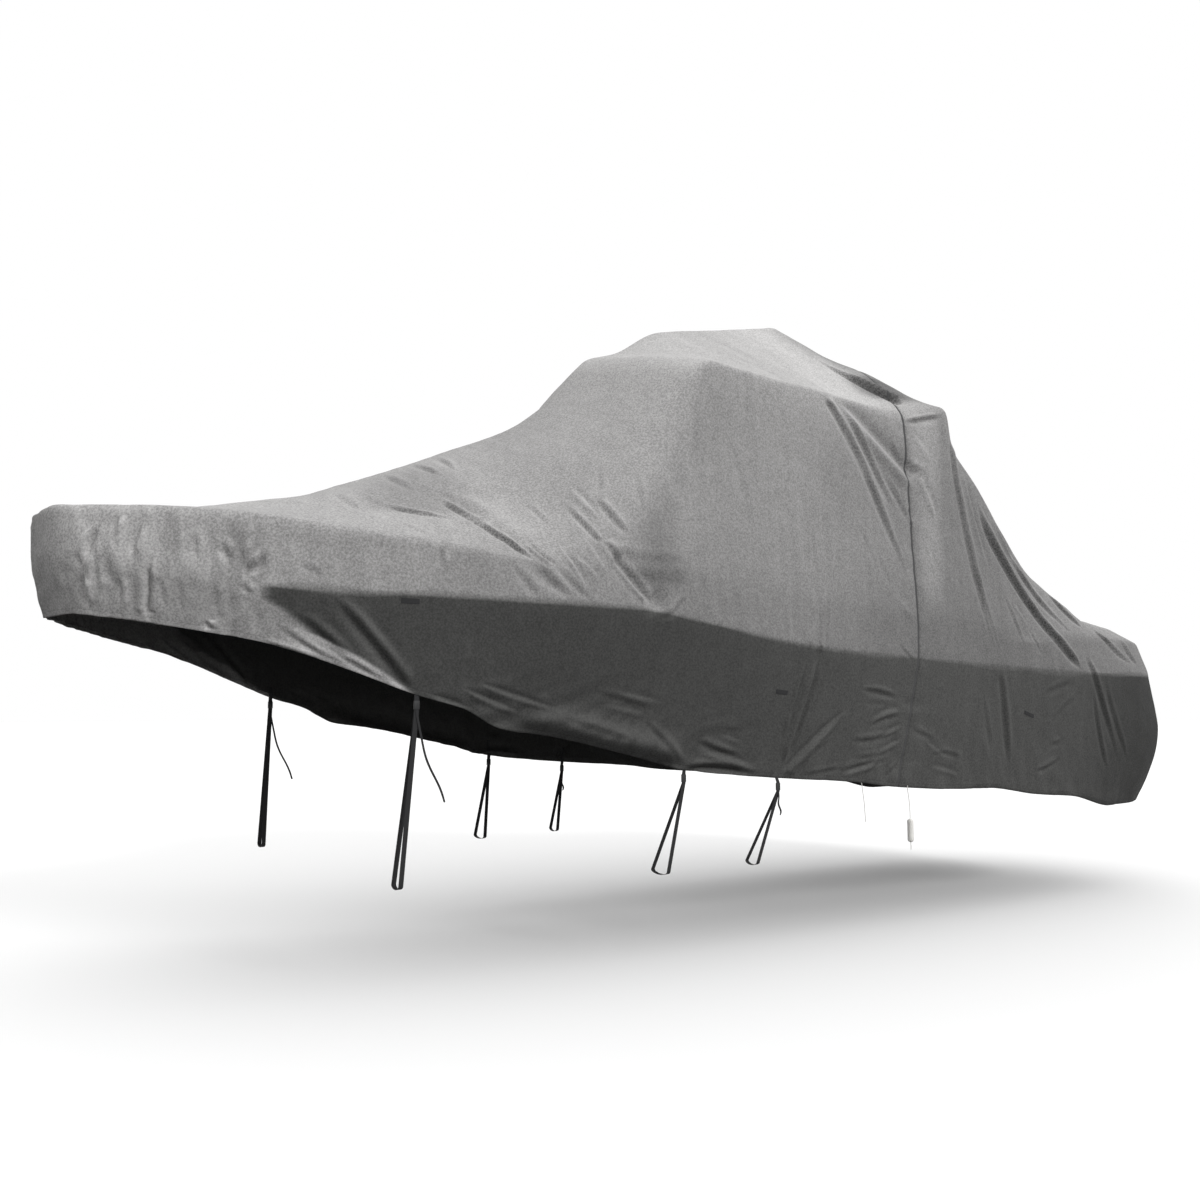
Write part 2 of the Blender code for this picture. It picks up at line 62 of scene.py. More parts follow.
# ---- Floor and light ----
# A plain pale floor at the ground under the cover, one large soft light high over the port bow,
# and a pale surround that is brighter above than below.
class Wire:
    """A number on its way through a finish; arithmetic on it adds Math nodes."""

    def __init__(self, nodes, socket):
        self.nodes, self.socket = nodes, socket

    def math(self, operation, first, second):
        return self.nodes.add("Math", {0: first, 1: second}, operation=operation)

    def __add__(self, other):
        return self.math("ADD", self, other)

    def __sub__(self, other):
        return self.math("SUBTRACT", self, other)

    def __rsub__(self, other):
        return self.math("SUBTRACT", other, self)

    def __mul__(self, other):
        return self.math("MULTIPLY", self, other)

    __radd__ = __add__
    __rmul__ = __mul__


class Nodes:
    """The nodes of a material or of the surround."""

    def __init__(self, owner):
        owner.use_nodes = True
        self.owner, self.tree = owner, owner.node_tree

    def add(self, kind, sockets=None, out=0, **settings):
        """A node of that kind; its settings come first, then its sockets' values or links."""
        node = self.tree.nodes.new("ShaderNode" + kind)
        for key, value in settings.items():
            setattr(node, key, value)
        for key, value in (sockets or {}).items():
            self.set(node.inputs[key], value)
        return Wire(self, node.outputs[out])

    def set(self, socket, value):
        if isinstance(value, Wire):
            self.tree.links.new(value.socket, socket)
        elif socket.type == "RGBA":
            socket.default_value = (*value, 1.0)
        else:
            socket.default_value = value


class Finish(Nodes):
    """A material built node by node around its Principled shader."""

    def __init__(self, name, roughness):
        super().__init__(bpy.data.materials.new(name))
        self.shader = self.tree.nodes["Principled BSDF"].inputs
        self.shader["Roughness"].default_value = roughness
        self.shader["Specular IOR Level"].default_value = 0.25

    def place(self):
        return self.add("TexCoord", out="Object")

    def mottle(self, place, scale, detail=2.0, roughness=0.5):
        return self.add("TexNoise", {"Vector": place, "Scale": scale, "Detail": detail,
                                     "Roughness": roughness})

    def shade(self, colour, level):
        """A colour made lighter or darker by a level around 1."""
        return self.add("VectorMath", {0: colour, 3: level}, operation="SCALE")

    def bump(self, height, strength, distance, under=None):
        sockets = {"Height": height, "Strength": strength, "Distance": distance}
        if under:
            sockets["Normal"] = under
        return self.add("Bump", sockets)

    def output(self, **looks):
        for socket, value in looks.items():
            self.set(self.shader[socket.replace("_", " ").title()], value)
        return self.owner


FLOOR_LEVEL, FLOOR_HALF = -3.931, 90.0
bm = bmesh.new()
bmesh.ops.create_grid(bm, x_segments=1, y_segments=1, size=FLOOR_HALF)
bmesh.ops.translate(bm, verts=bm.verts[:], vec=(0.0, 0.0, FLOOR_LEVEL))
floor_mesh = bpy.data.meshes.new("floor")
bm.to_mesh(floor_mesh)
bm.free()
floor_mesh.materials.append(Finish("floor_pale", 0.9).output(base_color=(0.84, 0.84, 0.84)))
floor = bpy.data.objects.new("floor", floor_mesh)
scene.collection.objects.link(floor)
floor.visible_diffuse = False

key_data = bpy.data.lights.new("key_light", "SUN")
key_data.energy = 1.45
key_data.angle = radians(16.0)
key = bpy.data.objects.new("key_light", key_data)
key.rotation_euler = Vector((0.20, -0.85, 0.42)).to_track_quat("Z", "Y").to_euler()
scene.collection.objects.link(key)

surround = Nodes(bpy.data.worlds.new("surround"))
scene.world = surround.owner
height = surround.add("SeparateXYZ", {"Vector": surround.add("TexCoord")}, out="Z")
glow = surround.add("MapRange", {"Value": height, "From Min": -0.05, "From Max": 0.05,
                                 "To Min": 0.05, "To Max": 1.20})
seen = surround.add("LightPath", out="Is Camera Ray")
strength = surround.add("Mix", {"Factor": seen, "A": glow, "B": 1.0})
surround.set(surround.tree.nodes["Background"].inputs["Strength"], strength)
surround.set(surround.tree.nodes["Background"].inputs["Color"], (1.0, 1.0, 1.0))
scene.view_settings.view_transform = "Standard"


# ---- White cord ties ----
# Two thin white laid cords, sewn inside the port hem on both sides of the cross seam. The aft
# one ends in a whipped winding, with a short free end below it.
def unit(way):
    """Directions brought to a length of one."""
    return way / norm(way, axis=-1, keepdims=True)


def run_along(path):
    """The length run at each point of a path, from its start."""
    return np.concatenate([[0], np.cumsum(norm(np.diff(path, axis=0), axis=1))])


def smooth_path(points, step):
    """Catmull-Rom curve through points, in even steps of about that length."""
    points = np.array(points, float)
    padded = np.vstack([2 * points[0] - points[1], points, 2 * points[-1] - points[-2]])
    dense = []
    for a, b, c, d in zip(padded, padded[1:], padded[2:], padded[3:]):
        t = np.linspace(0, 1, 40, endpoint=False)[:, None]
        dense.append(0.5 * (2 * b + (c - a) * t + (2 * a - 5 * b + 4 * c - d) * t**2
                            + (3 * b - a - 3 * c + d) * t**3))
    dense = np.vstack([*dense, points[-1:]])
    run = run_along(dense)
    even = np.linspace(0, run[-1], max(3, round(run[-1] / step) + 1))
    return np.stack([np.interp(even, run, dense[:, k]) for k in range(3)], axis=1)


def skin(points, flat=None, tables=()):
    """A bmesh over rows of points, with its sewn map and its tables of values."""
    rows, columns = len(points) - 1, len(points[0]) - 1
    bm = bmesh.new()
    bmesh.ops.create_grid(bm, x_segments=rows, y_segments=columns, size=1)
    layers = [(bm.verts.layers.float.new(key), tables[key]) for key in tables]
    uv = bm.loops.layers.uv.new("sewn") if flat is not None else None
    for vert in bm.verts:
        i, j = round((vert.co.x + 1) / 2 * rows), round((vert.co.y + 1) / 2 * columns)
        vert.co = points[i][j]
        for layer, table in layers:
            vert[layer] = table[i, j]
        for loop in vert.link_loops if uv else ():
            loop[uv].uv = flat[i][j]
    return bm


def closed(bm):
    """A round skin with its side joined and its ends filled."""
    bmesh.ops.remove_doubles(bm, verts=bm.verts[:], dist=1e-6)
    bmesh.ops.holes_fill(bm, edges=bm.edges[:], sides=0)
    bmesh.ops.recalc_face_normals(bm, faces=bm.faces[:])
    return bm


def finished(name, bm, finish, slot, *nodes):
    """A bmesh as a finished piece that rides on the cover in place of its nodes."""
    mesh = bpy.data.meshes.new(name)
    bm.to_mesh(mesh)
    bm.free()
    mesh.materials.append(finish)
    mesh.shade_smooth()
    piece = bpy.data.objects.new(name, mesh)
    scene.collection.objects.link(piece)
    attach(piece, "root")
    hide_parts(*nodes)
    return piece


white = Finish("white_cord_twist", 0.65)
fibres = white.mottle(white.place(), 900.0, 3.0)
grime = white.mottle(white.place(), 22.0, 3.0)
WHITE_CORD = white.output(
    base_color=white.shade((0.78, 0.77, 0.74), 0.82 + 0.22 * fibres + 0.08 * grime),
    roughness=0.6 + 0.2 * grime, normal=white.bump(fibres, 0.4, 0.0006))

CORD_RADIUS, CORD_STEP, CORD_SIDES = 0.0025, 0.0025, 15
STRANDS, LAY, STRAND_SWELL = 3, 0.016, 0.10
TIES = (((0.1205, -1.17235, -3.00243), (0.11357, -1.1668, -3.04659), (0.132, -1.1668, -3.165),
         (0.142, -1.1668, -3.283)),
        ((0.51167, -1.17995, -3.04566), (0.50296, -1.17474, -3.09138), (0.517, -1.17474, -3.188),
         (0.522, -1.17474, -3.285), (0.522, -1.17474, -3.4253), (0.524, -1.17474, -3.4478),
         (0.522, -1.17474, -3.4703)))


def laid_cord(name, path, *nodes):
    """A cord of twisted strands along a path, closed at both ends."""
    tangent = unit(np.gradient(path, axis=0))
    side = unit(np.cross(tangent, (1.0, 0.0, 0.0)))[:, None]
    up = np.cross(tangent[:, None], side)
    turn = np.linspace(0, 2 * pi, CORD_SIDES + 1)[:, None]
    twist = turn - 2 * pi * run_along(path)[:, None, None] / LAY
    radius = CORD_RADIUS * (1 + STRAND_SWELL * np.cos(STRANDS * twist))
    points = path[:, None] + radius * (np.cos(turn) * side + np.sin(turn) * up)
    return finished(name, closed(skin(points)), WHITE_CORD, "white_cord", *nodes)


tie_paths = [smooth_path(points, CORD_STEP) for points in TIES]
ties = [laid_cord("tie_cord_1", tie_paths[0], "white_tie_1"),
        laid_cord("tie_cord_2", tie_paths[1], "white_tie_2", "tie_free_end")]

WINDING_RADIUS, WINDING_LENGTH, WINDING_PITCH, THREAD_DEPTH = 0.0195, 0.139, 0.0052, 0.0016
END_RADIUS, SHOULDERS = 0.25, 9
winding_top = np.array(TIES[1][3]) + (0.0, 0.0, -0.0003)
along, turn = np.linspace(0, 1, 221)[:, None], np.linspace(0, 2 * pi, 41)
shoulder = np.minimum(1, SHOULDERS * np.minimum(along, 1 - along))
ridge = np.abs(np.sin(pi * along * WINDING_LENGTH / WINDING_PITCH - turn / 2))
wide = WINDING_RADIUS * (END_RADIUS + (1 - END_RADIUS) * (1 - (1 - shoulder)**2)**0.5)
wide = wide - THREAD_DEPTH * (1 - ridge)
round_it = np.stack([wide * np.cos(turn), wide * np.sin(turn), -along * WINDING_LENGTH + 0 * turn],
                    axis=-1)
winding = finished("tie_whipping", closed(skin(winding_top + round_it)), WHITE_CORD,
                   "white_cord", "tie_winding")
for tie, points, path, more in zip(ties, TIES, tie_paths, ({}, {"with_pieces": [winding]})):
    float(run_along(path)[-1])

# ---- Front and aft panels ----
# Grey coated woven polyester, cut in two panels and hung over what it covers, each with its
# lower edge turned 25 mm to the inside and sewn down. The skirt under the crease is painted a
# darker grey as painted shade, and the cloth's tone carries painted light and shade.

# The form runs through six lines from the stem to the stern, each given by a station, which is
# the distance along the rub rail, and the place there; SWELL is added halfway down the skirt.
# Girth rows run from 0 at the spine to 8 at the hem. HELD_AT is where the frame's origin lies.
HELD_AT = np.array((4.25, 0.0, 3.931))
STERN, SEAM, HEM_ROW = 9.18, 5.40, 8
SPINE = np.array([
    (0, 0.55, 0, 2.29), (0.5, 0.72, 0, 2.31), (0.87, 0.92, 0, 2.345), (1.23, 1.2, 0, 2.43),
    (1.66, 1.5, 0, 2.54), (2.12, 1.85, 0, 2.685), (2.57, 2.2, 0, 2.83), (3.1, 2.61, 0, 3.02),
    (3.45, 2.94, 0, 3.28), (3.7, 3.17, 0, 3.54), (3.9, 3.39, 0, 3.62), (4.2, 3.72, 0, 3.816),
    (4.66, 4.25, 0, 3.933), (5, 4.66, 0, 4.025), (5.12, 4.79, 0, 4.05), (5.4, 5.1, 0, 3.74),
    (5.75, 5.45, 0, 3.4), (6.2, 5.8, 0, 2.9), (6.7, 6.25, 0, 2.4), (7.2, 6.65, 0, 2.1),
    (7.89, 7.05, 0, 1.97), (9.18, 7.3, 0, 1.95)])
CROWN = np.array([
    (0, 0.4, 0, 2.278), (0.5, 0.55, 0.22, 2.28), (0.87, 0.78, 0.33, 2.325), (1.23, 1.08, 0.38, 2.395),
    (1.66, 1.42, 0.4, 2.48), (2.12, 1.8, 0.42, 2.6), (2.57, 2.16, 0.46, 2.7), (3.1, 2.6, 0.5, 2.88),
    (3.45, 2.97, 0.5, 3.15), (3.7, 3.24, 0.5, 3.46), (4.2, 3.74, 0.5, 3.56), (5.12, 4.8, 0.45, 3.72),
    (5.4, 5.1, 0.45, 3.79), (5.75, 5.48, 0.55, 3.45), (6.2, 5.9, 0.5, 2.8), (6.7, 6.35, 0.5, 2.3),
    (7.2, 6.75, 0.5, 2.05), (7.89, 7.1, 0.45, 1.94), (9.18, 7.5, 0, 1.93)])
EDGE = np.array([
    (0, 0.2, 0, 2.265), (0.5, 0.33, 0.34, 2.262), (0.87, 0.6, 0.5, 2.26), (1.23, 0.92, 0.62, 2.28),
    (1.66, 1.3, 0.7, 2.3), (2.12, 1.72, 0.78, 2.3), (2.57, 2.1, 0.95, 2.22), (3.1, 2.62, 1.03, 2.44),
    (3.45, 2.98, 0.99, 2.86), (3.68, 3.3, 0.95, 3.3), (3.82, 3.45, 0.955, 3.345), (4, 3.63, 0.95, 3.33),
    (4.67, 4.32, 0.95, 3.293), (5.4, 5.05, 0.95, 3.256), (5.75, 5.46, 0.97, 3.36), (5.9, 5.5, 0.98, 3.14),
    (6.1, 5.73, 1, 2.86), (6.33, 5.93, 1.03, 2.56), (6.6, 6.16, 1.04, 2.3), (6.85, 6.35, 1.05, 2.19),
    (7.1, 6.55, 1.06, 2.08), (7.4, 6.77, 1.06, 1.95), (7.89, 7.15, 0.98, 1.93), (8.37, 7.4, 0.7, 1.93),
    (9.18, 7.65, 0, 1.91)])
RAIL = np.array([
    (0, -0.01, 0, 2.25), (0.26, 0.03, 0.24, 2.26), (0.5, 0.16, 0.44, 2.25), (0.87, 0.42, 0.67, 2.235),
    (1.23, 0.72, 0.86, 2.213), (1.66, 1.15, 1.01, 2.16), (2.12, 1.61, 1.1, 2.12),
    (2.57, 2.06, 1.15, 2.055), (3.1, 2.57, 1.19, 2.03), (3.7, 3.17, 1.205, 1.98), (4.5, 3.98, 1.205, 1.9),
    (5.4, 4.86, 1.205, 1.82), (6.5, 6, 1.205, 1.78), (7.35, 6.85, 1.185, 1.8), (7.89, 7.37, 1.11, 1.8),
    (8.37, 7.64, 0.75, 1.8), (9.18, 7.8, 0, 1.8)])
CREASE = np.array([
    (0, 0, 0, 2.03), (0.26, 0.045, 0.26, 2.02), (0.5, 0.16, 0.47, 2), (0.87, 0.43, 0.71, 1.95),
    (1.23, 0.75, 0.89, 1.885), (1.66, 1.15, 1.03, 1.862), (2.12, 1.6, 1.13, 1.857),
    (2.57, 2.05, 1.2, 1.847), (3.21, 2.69, 1.25, 1.835), (3.6, 3.07, 1.25, 1.787),
    (4.19, 3.65, 1.25, 1.703), (4.76, 4.2, 1.25, 1.656), (5.4, 4.81, 1.25, 1.628),
    (6.12, 5.58, 1.25, 1.593), (6.97, 6.45, 1.25, 1.568), (7.62, 7.1, 1.25, 1.556),
    (7.89, 7.38, 1.2, 1.554), (8.07, 7.54, 1.06, 1.55), (8.37, 7.7, 0.78, 1.55), (9.18, 7.85, 0, 1.55)])
HEM = np.array([
    (0, 0.06, 0, 1.755), (0.26, 0.13, 0.25, 1.761), (0.5, 0.24, 0.43, 1.741), (0.87, 0.45, 0.62, 1.701),
    (1.3, 0.84, 0.84, 1.626), (1.66, 1.19, 0.98, 1.51), (2.03, 1.52, 1.06, 1.387),
    (2.25, 1.75, 1.1, 1.321), (2.47, 1.94, 1.1, 1.228), (2.85, 2.29, 1.1, 1.17), (3.28, 2.7, 1.1, 1.08),
    (3.7, 3.08, 1.1, 0.991), (4.36, 3.71, 1.14, 0.929), (5, 4.31, 1.17, 0.886), (5.4, 4.66, 1.18, 0.843),
    (5.9, 5.22, 1.18, 0.809), (6.15, 5.52, 1.18, 0.804), (6.55, 6, 1.18, 0.745), (6.97, 6.45, 1.16, 0.711),
    (7.46, 6.94, 1.12, 0.623), (7.8, 7.28, 1.08, 0.626), (8.1, 7.54, 0.95, 0.66), (8.5, 7.72, 0.55, 0.69),
    (9.18, 7.82, 0, 0.7)])
SWELL = np.array([
    (0, 0, 0, 0), (7.2, 0, 0.02, 0), (7.6, 0.08, 0.05, -0.06), (7.89, 0.17, 0.05, -0.12),
    (8.37, 0.16, 0.02, -0.12), (9.18, 0.14, 0, -0.12)])
EDGE_ROUNDING, SOFT_ROUNDING, HIP_ROUNDING = 0.015, 0.145, 0.030
RAIL_ROUNDING, CREASE_ROUNDING = 0.014, 0.030
CRISPNESS = np.array((1.0, 4.0, 4.0, 5.0, 5.0, 2.0, 2.0, 1.0))


def through(rows, at):
    """Smooth curve through a line's rows, with no overshoot, at the given stations."""
    station, point = rows[:, 0], rows[:, 1:]
    slope = np.diff(point, axis=0) / np.diff(station)[:, None]
    before, after = slope[:-1], slope[1:]
    same_way = before * after > 0
    middle = np.where(same_way, 2 * before * after / np.where(same_way, before + after, 1), 0)
    tangent = np.concatenate([slope[:1], middle, slope[-1:]])
    k = np.clip(np.searchsorted(station, at, side="right") - 1, 0, len(station) - 2)
    span = (station[k + 1] - station[k])[:, None]
    t = (at - station[k])[:, None] / span
    return ((2 * t**3 - 3 * t**2 + 1) * point[k] + (t**3 - 2 * t**2 + t) * span * tangent[k]
            + (3 * t**2 - 2 * t**3) * point[k + 1] + (t**3 - t**2) * span * tangent[k + 1])


def toward(start, goal, distance):
    """Points a set distance from start on the way to goal."""
    way = goal - start
    length = np.maximum(norm(way, axis=-1, keepdims=True), 1e-6)
    return start + way * distance / length


def form(station, row):
    """The cover without folds: a smooth curve across the lines, pulled close to each line."""
    spine, crown, edge, rail, crease, hem = (
        through(line, station) for line in (SPINE, CROWN, EDGE, RAIL, CREASE, HEM))
    soft = np.interp(station, (2.15, 2.60, 3.45, 3.75), (0, 1, 1, 0))[:, None]
    hip = np.interp(station, (5.00, 5.45), (0, 1))[:, None]
    edge_rounding = EDGE_ROUNDING + SOFT_ROUNDING * soft + HIP_ROUNDING * hip
    net = np.stack([
        spine, crown, toward(edge, crown, edge_rounding), toward(edge, rail, edge_rounding),
        toward(rail, edge, RAIL_ROUNDING), toward(rail, crease, RAIL_ROUNDING),
        toward(crease, rail, CREASE_ROUNDING), toward(crease, hem, CREASE_ROUNDING),
        (crease + hem) / 2 + through(SWELL, station), hem])
    here = np.arange(len(station))
    last = len(net) - 3
    k = np.clip(np.floor(row).astype(int), 0, last)
    t = (row - k)[:, None]
    first, corner, second = (net[k + step, here] for step in range(3))
    start = np.where((k == 0)[:, None], first, (first + corner) / 2)
    end = np.where((k == last)[:, None], second, (corner + second) / 2)
    pull = CRISPNESS[k][:, None]
    pull = np.where(((k == 1) | (k == 2))[:, None], pull + (1 - pull) * soft, pull)
    side, weight = (1 - t)**2 * start + t**2 * end, 2 * pull * t * (1 - t)
    return (side + weight * corner) / ((1 - t)**2 + t**2 + weight)


# Folds as the view shows them: start, middle and end in points of its frame, the width in
# millimetres, the steepness of the slanted face (negative where it is turned to the light),
# then, if not the usual ones, the percentages of the route over which it runs out and rises,
# and the height of a ridge in millimetres (negative for a trough).
FOLDS = (
    # fan from the roof edge down to the cross seam
    (825, 397, 866, 479, 913, 590, 19, 1.28, 34, 6), (838, 403, 868, 457, 901, 524, 16, 1.22, 40),
    (880, 468, 900, 500, 917, 535, 14, 1.08, 40), (836, 400, 880, 446, 917, 490, 48, -0.8, 25, 25),
    (850, 443, 875, 483, 908, 527, 11, -0.81), (898, 487, 906, 499, 915, 513, 11, 0.81),
    (872, 545, 885, 570, 893, 590, 12, 0.41, 40, 40), (893, 598, 904, 612, 917, 626, 12, 0.61),
    (896, 640, 907, 652, 917, 662, 11, 0.47), (812, 520, 814, 545, 814, 574, 12, 0.47, 40, 40),
    (852, 505, 868, 545, 880, 575, 18, 0.27, 40, 40),
    # pinch at the seam and the folds round it
    (888, 433, 896, 451, 906, 465, 11, 1.28, 10, 40), (906, 465, 918, 470, 938, 480, 18, 1.76, 70),
    (903, 462, 909, 467, 918, 470, 16, 0, 50, 40, -14), (908, 426, 922, 446, 937, 470, 14, -0.61),
    (920, 480, 929, 498, 938, 520, 18, -1.15, 35), (926, 540, 931, 556, 938, 580, 12, -0.41, 40),
    (902, 422, 922, 419, 944, 415, 14, 1.49),
    # roof: the deep band under the hip
    (812, 357, 862, 384, 904, 402, 25, 2.2, 10, 60), (845, 372, 880, 388, 908, 398, 20, 0, 10, 40, 10),
    # front of the roof and the wall
    (599, 364, 603, 370, 606, 377, 11, 0.81, 40), (652, 412, 660, 424, 668, 438, 18, -0.34, 40, 40),
    (700, 385, 697, 425, 693, 470, 19, 0.54, 40), (706, 452, 703, 476, 702, 505, 14, 0.41, 40, 40),
    (731, 430, 740, 475, 751, 523, 18, 0.54, 40), (741, 368, 747, 398, 757, 440, 19, 0.47, 50),
    (757, 500, 760, 530, 764, 560, 14, 0.27, 40, 40), (670, 452, 681, 474, 691, 498, 30, 0.41, 40, 40),
    (600, 460, 601, 485, 601, 505, 14, 0.34, 40, 40), (634, 470, 640, 490, 644, 515, 16, 0.34, 40, 40),
    (771, 500, 772, 530, 771, 560, 16, 0.3, 40, 40), (826, 584, 823, 615, 820, 652, 13, 0, 5, 40, 15),
    (832, 590, 829, 615, 826, 650, 11, 0.61, 10, 40), (815, 592, 813, 615, 810, 650, 12, 0, 10, 40, 8),
    (788, 600, 790, 620, 792, 645, 16, -0.41, 34, 50), (718, 612, 716, 620, 715, 627, 11, 0.81),
    # where the slope meets the foredeck: the long tuck with its bulge above
    (436, 499, 488, 529, 539, 563, 11, 2.2, 24, 15), (445, 492, 500, 522, 548, 560, 55, 0, 30, 30, 16),
    (537, 562, 552, 578, 577, 599, 26, 0.6, 40), (522, 540, 540, 555, 559, 570, 11, -1.62),
    (435, 493, 446, 496, 458, 500, 12, 0.94, 40), (380, 504, 412, 511, 454, 519, 13, 1.22),
    (330, 492, 350, 503, 370, 513, 18, 0.54, 40, 40), (358, 492, 373, 500, 390, 507, 16, 0.41, 40, 40),
    (392, 517, 415, 528, 438, 538, 11, 0.74), (382, 474, 397, 480, 416, 491, 19, 0.68, 40, 35),
    (408, 463, 424, 468, 445, 478, 18, 0.74, 40, 35), (433, 457, 443, 462, 457, 472, 18, 0.94, 40, 35),
    (446, 546, 444, 558, 443, 570, 11, 1.35, 40), (458, 551, 452, 563, 446, 580, 11, -0.74, 40),
    (512, 564, 528, 580, 541, 599, 19, 0.47), (556, 564, 574, 582, 592, 600, 19, 0.47),
    # group of folds on the side of the slope
    (562, 503, 582, 523, 601, 542, 11, 1.62, 10), (594, 494, 612, 514, 631, 537, 16, 1.08),
    (570, 488, 585, 503, 605, 524, 16, -0.81, 40), (521, 501, 538, 512, 553, 528, 11, 0.74, 40),
    (559, 545, 574, 566, 589, 588, 11, -1.08), (572, 550, 588, 566, 604, 580, 12, -0.47, 40, 40),
    (582, 534, 598, 556, 612, 578, 14, -0.41, 40, 40),
    # hollow drawn down to the crease, with its bright edge in front
    (600, 544, 645, 556, 698, 560, 30, 0.2, 40, 30), (612, 552, 641, 582, 666, 612, 52, 0, 15, 15, -24),
    (601, 542, 624, 574, 646, 602, 13, 0, 10, 10, 16), (602, 541, 630, 570, 655, 602, 24, 0.75, 20, 8),
    (684, 594, 675, 608, 666, 622, 11, 1.22), (660, 580, 656, 592, 650, 602, 11, 0.68, 34, 40),
    (710, 550, 702, 572, 693, 596, 12, -0.68), (693, 564, 689, 578, 684, 592, 11, -0.81),
    (672, 612, 668, 618, 664, 624, 11, -0.81),
    # bow: creases and crumpling beside the stem
    (98, 522, 87, 545, 84, 568, 16, 1.82, 35), (84, 572, 86, 592, 90, 612, 18, 1.01),
    (100, 540, 111, 566, 116, 592, 32, 0.32, 40, 40), (121, 516, 118, 524, 116, 533, 12, 1.42),
    (145, 524, 138, 542, 134, 556, 12, 1.42), (153, 556, 151, 585, 149, 614, 11, 1.42, 10),
    (147, 562, 145, 588, 142, 616, 18, -0.81, 10, 40), (121, 572, 122, 592, 122, 612, 12, 0.91),
    (95, 540, 93, 575, 94, 612, 18, -0.81), (196, 528, 198, 546, 199, 564, 11, 0.81, 40),
    (224, 542, 226, 549, 230, 558, 16, 1.42, 40, 40), (256, 543, 249, 551, 245, 562, 12, 1.82),
    (262, 552, 257, 562, 250, 568, 16, 2.2), (245, 562, 243, 572, 242, 582, 11, -1.01, 40),
    (247, 582, 248, 588, 250, 594, 12, 1.21, 40), (305, 562, 312, 568, 320, 577, 12, 1.01, 40),
    (208, 620, 210, 625, 212, 630, 12, 1.21), (160, 575, 163, 592, 164, 612, 11, 0.71),
    (180, 572, 182, 592, 181, 616, 11, 0.61), (214, 580, 216, 598, 218, 618, 12, 0.61),
    (228, 590, 227, 606, 224, 622, 14, -0.71),
    # skirt at the bow, drawn to the first strap
    (331, 592, 370, 637, 410, 689, 21, 1.15, 10), (352, 604, 378, 634, 404, 668, 18, -0.41, 34, 35),
    (320, 618, 334, 634, 356, 656, 16, -0.51, 40, 40), (300, 612, 318, 630, 344, 650, 16, 1.01),
    (262, 640, 290, 650, 320, 662, 12, 0.81), (280, 622, 300, 640, 330, 658, 11, 1.01),
    (340, 655, 360, 666, 384, 680, 12, 0.81), (306, 640, 330, 652, 356, 668, 11, -0.34, 40, 40),
    # skirt turned under along the hem, with the drags between the first two straps
    (500, 716, 590, 741, 682, 764, 55, 0.95, 10), (476, 682, 514, 697, 562, 711, 12, -0.94, 40),
    (462, 688, 492, 702, 526, 715, 12, -0.94, 40), (430, 695, 446, 701, 474, 710, 12, -0.94, 40),
    (590, 690, 625, 700, 662, 712, 16, 0.41, 40, 40), (600, 704, 626, 709, 654, 717, 12, -0.54, 40, 40),
    (610, 692, 640, 697, 668, 704, 12, -0.47, 40, 40), (560, 716, 596, 728, 640, 742, 18, 0.54, 40, 40),
    (684, 768, 662, 738, 640, 716, 16, 0.54, 50, 10),
    # skirt beside the second strap
    (697, 737, 716, 748, 740, 754, 14, 1.22), (700, 753, 722, 757, 750, 766, 12, -1.08),
    (688, 768, 720, 765, 762, 775, 18, 1.76, 34, 10), (720, 733, 732, 738, 744, 744, 11, -0.54),
    (724, 728, 730, 729, 738, 730, 11, 0.54),
    # skirt, ridges up from the third strap
    (820, 654, 803, 706, 783, 766, 20, -1.4, 15, 35, 6),
    (808, 656, 794, 700, 782, 744, 13, -1.1, 30, 35, 3), (831, 656, 813, 710, 794, 752, 12, 0.41, 34, 10),
    (804, 664, 792, 700, 782, 744, 11, 0.41, 34, 10), (850, 706, 815, 742, 785, 773, 17, -1.3, 8, 40, 6),
    (826, 744, 806, 758, 788, 774, 11, -0.81, 10), (832, 738, 812, 752, 792, 769, 11, 0.81, 10),
    (846, 766, 822, 770, 798, 776, 11, 0.68), (812, 700, 804, 722, 794, 746, 11, 0.54),
    # puckers beside the cross seam
    (860, 689, 880, 691, 902, 698, 12, 1.08), (862, 700, 880, 702, 896, 703, 11, 0.41),
    (872, 720, 888, 711, 905, 710, 11, -0.81), (866, 727, 884, 718, 904, 715, 11, 1.22),
    (874, 742, 890, 732, 906, 724, 11, -0.94), (848, 739, 872, 738, 900, 730, 13, 0.94),
    (866, 758, 886, 748, 904, 738, 11, -0.94), (852, 757, 874, 754, 900, 743, 11, 0.81),
    (840, 775, 862, 768, 890, 760, 11, -1.22), (836, 770, 856, 765, 876, 760, 11, 0.68),
    (866, 776, 872, 766, 888, 758, 11, 0.94), (884, 775, 892, 768, 899, 758, 11, 0.68),
    (926, 741, 936, 748, 952, 760, 12, -0.47), (930, 766, 946, 770, 962, 776, 12, -0.54),
    (912, 728, 924, 733, 940, 742, 12, 0.54), (930, 756, 948, 752, 966, 762, 12, 0.54),
    # aft wall and slope
    (951, 440, 965, 530, 1000, 668, 21, 1.15, 34, 10), (972, 560, 984, 600, 1004, 664, 14, 0.68),
    (961, 464, 976, 522, 992, 574, 16, -0.81), (978, 500, 1006, 568, 1082, 670, 21, 1.76, 6),
    (991, 512, 1010, 556, 1034, 590, 16, -1.08), (1006, 545, 1026, 584, 1080, 640, 18, 0.94),
    (1002, 592, 1014, 620, 1028, 656, 12, 0.68), (1010, 595, 1024, 622, 1042, 658, 12, -0.54),
    (1014, 606, 1030, 632, 1048, 664, 11, 0.54), (1046, 592, 1064, 610, 1086, 632, 16, 1.08, 34, 40),
    # skirt under the aft slope
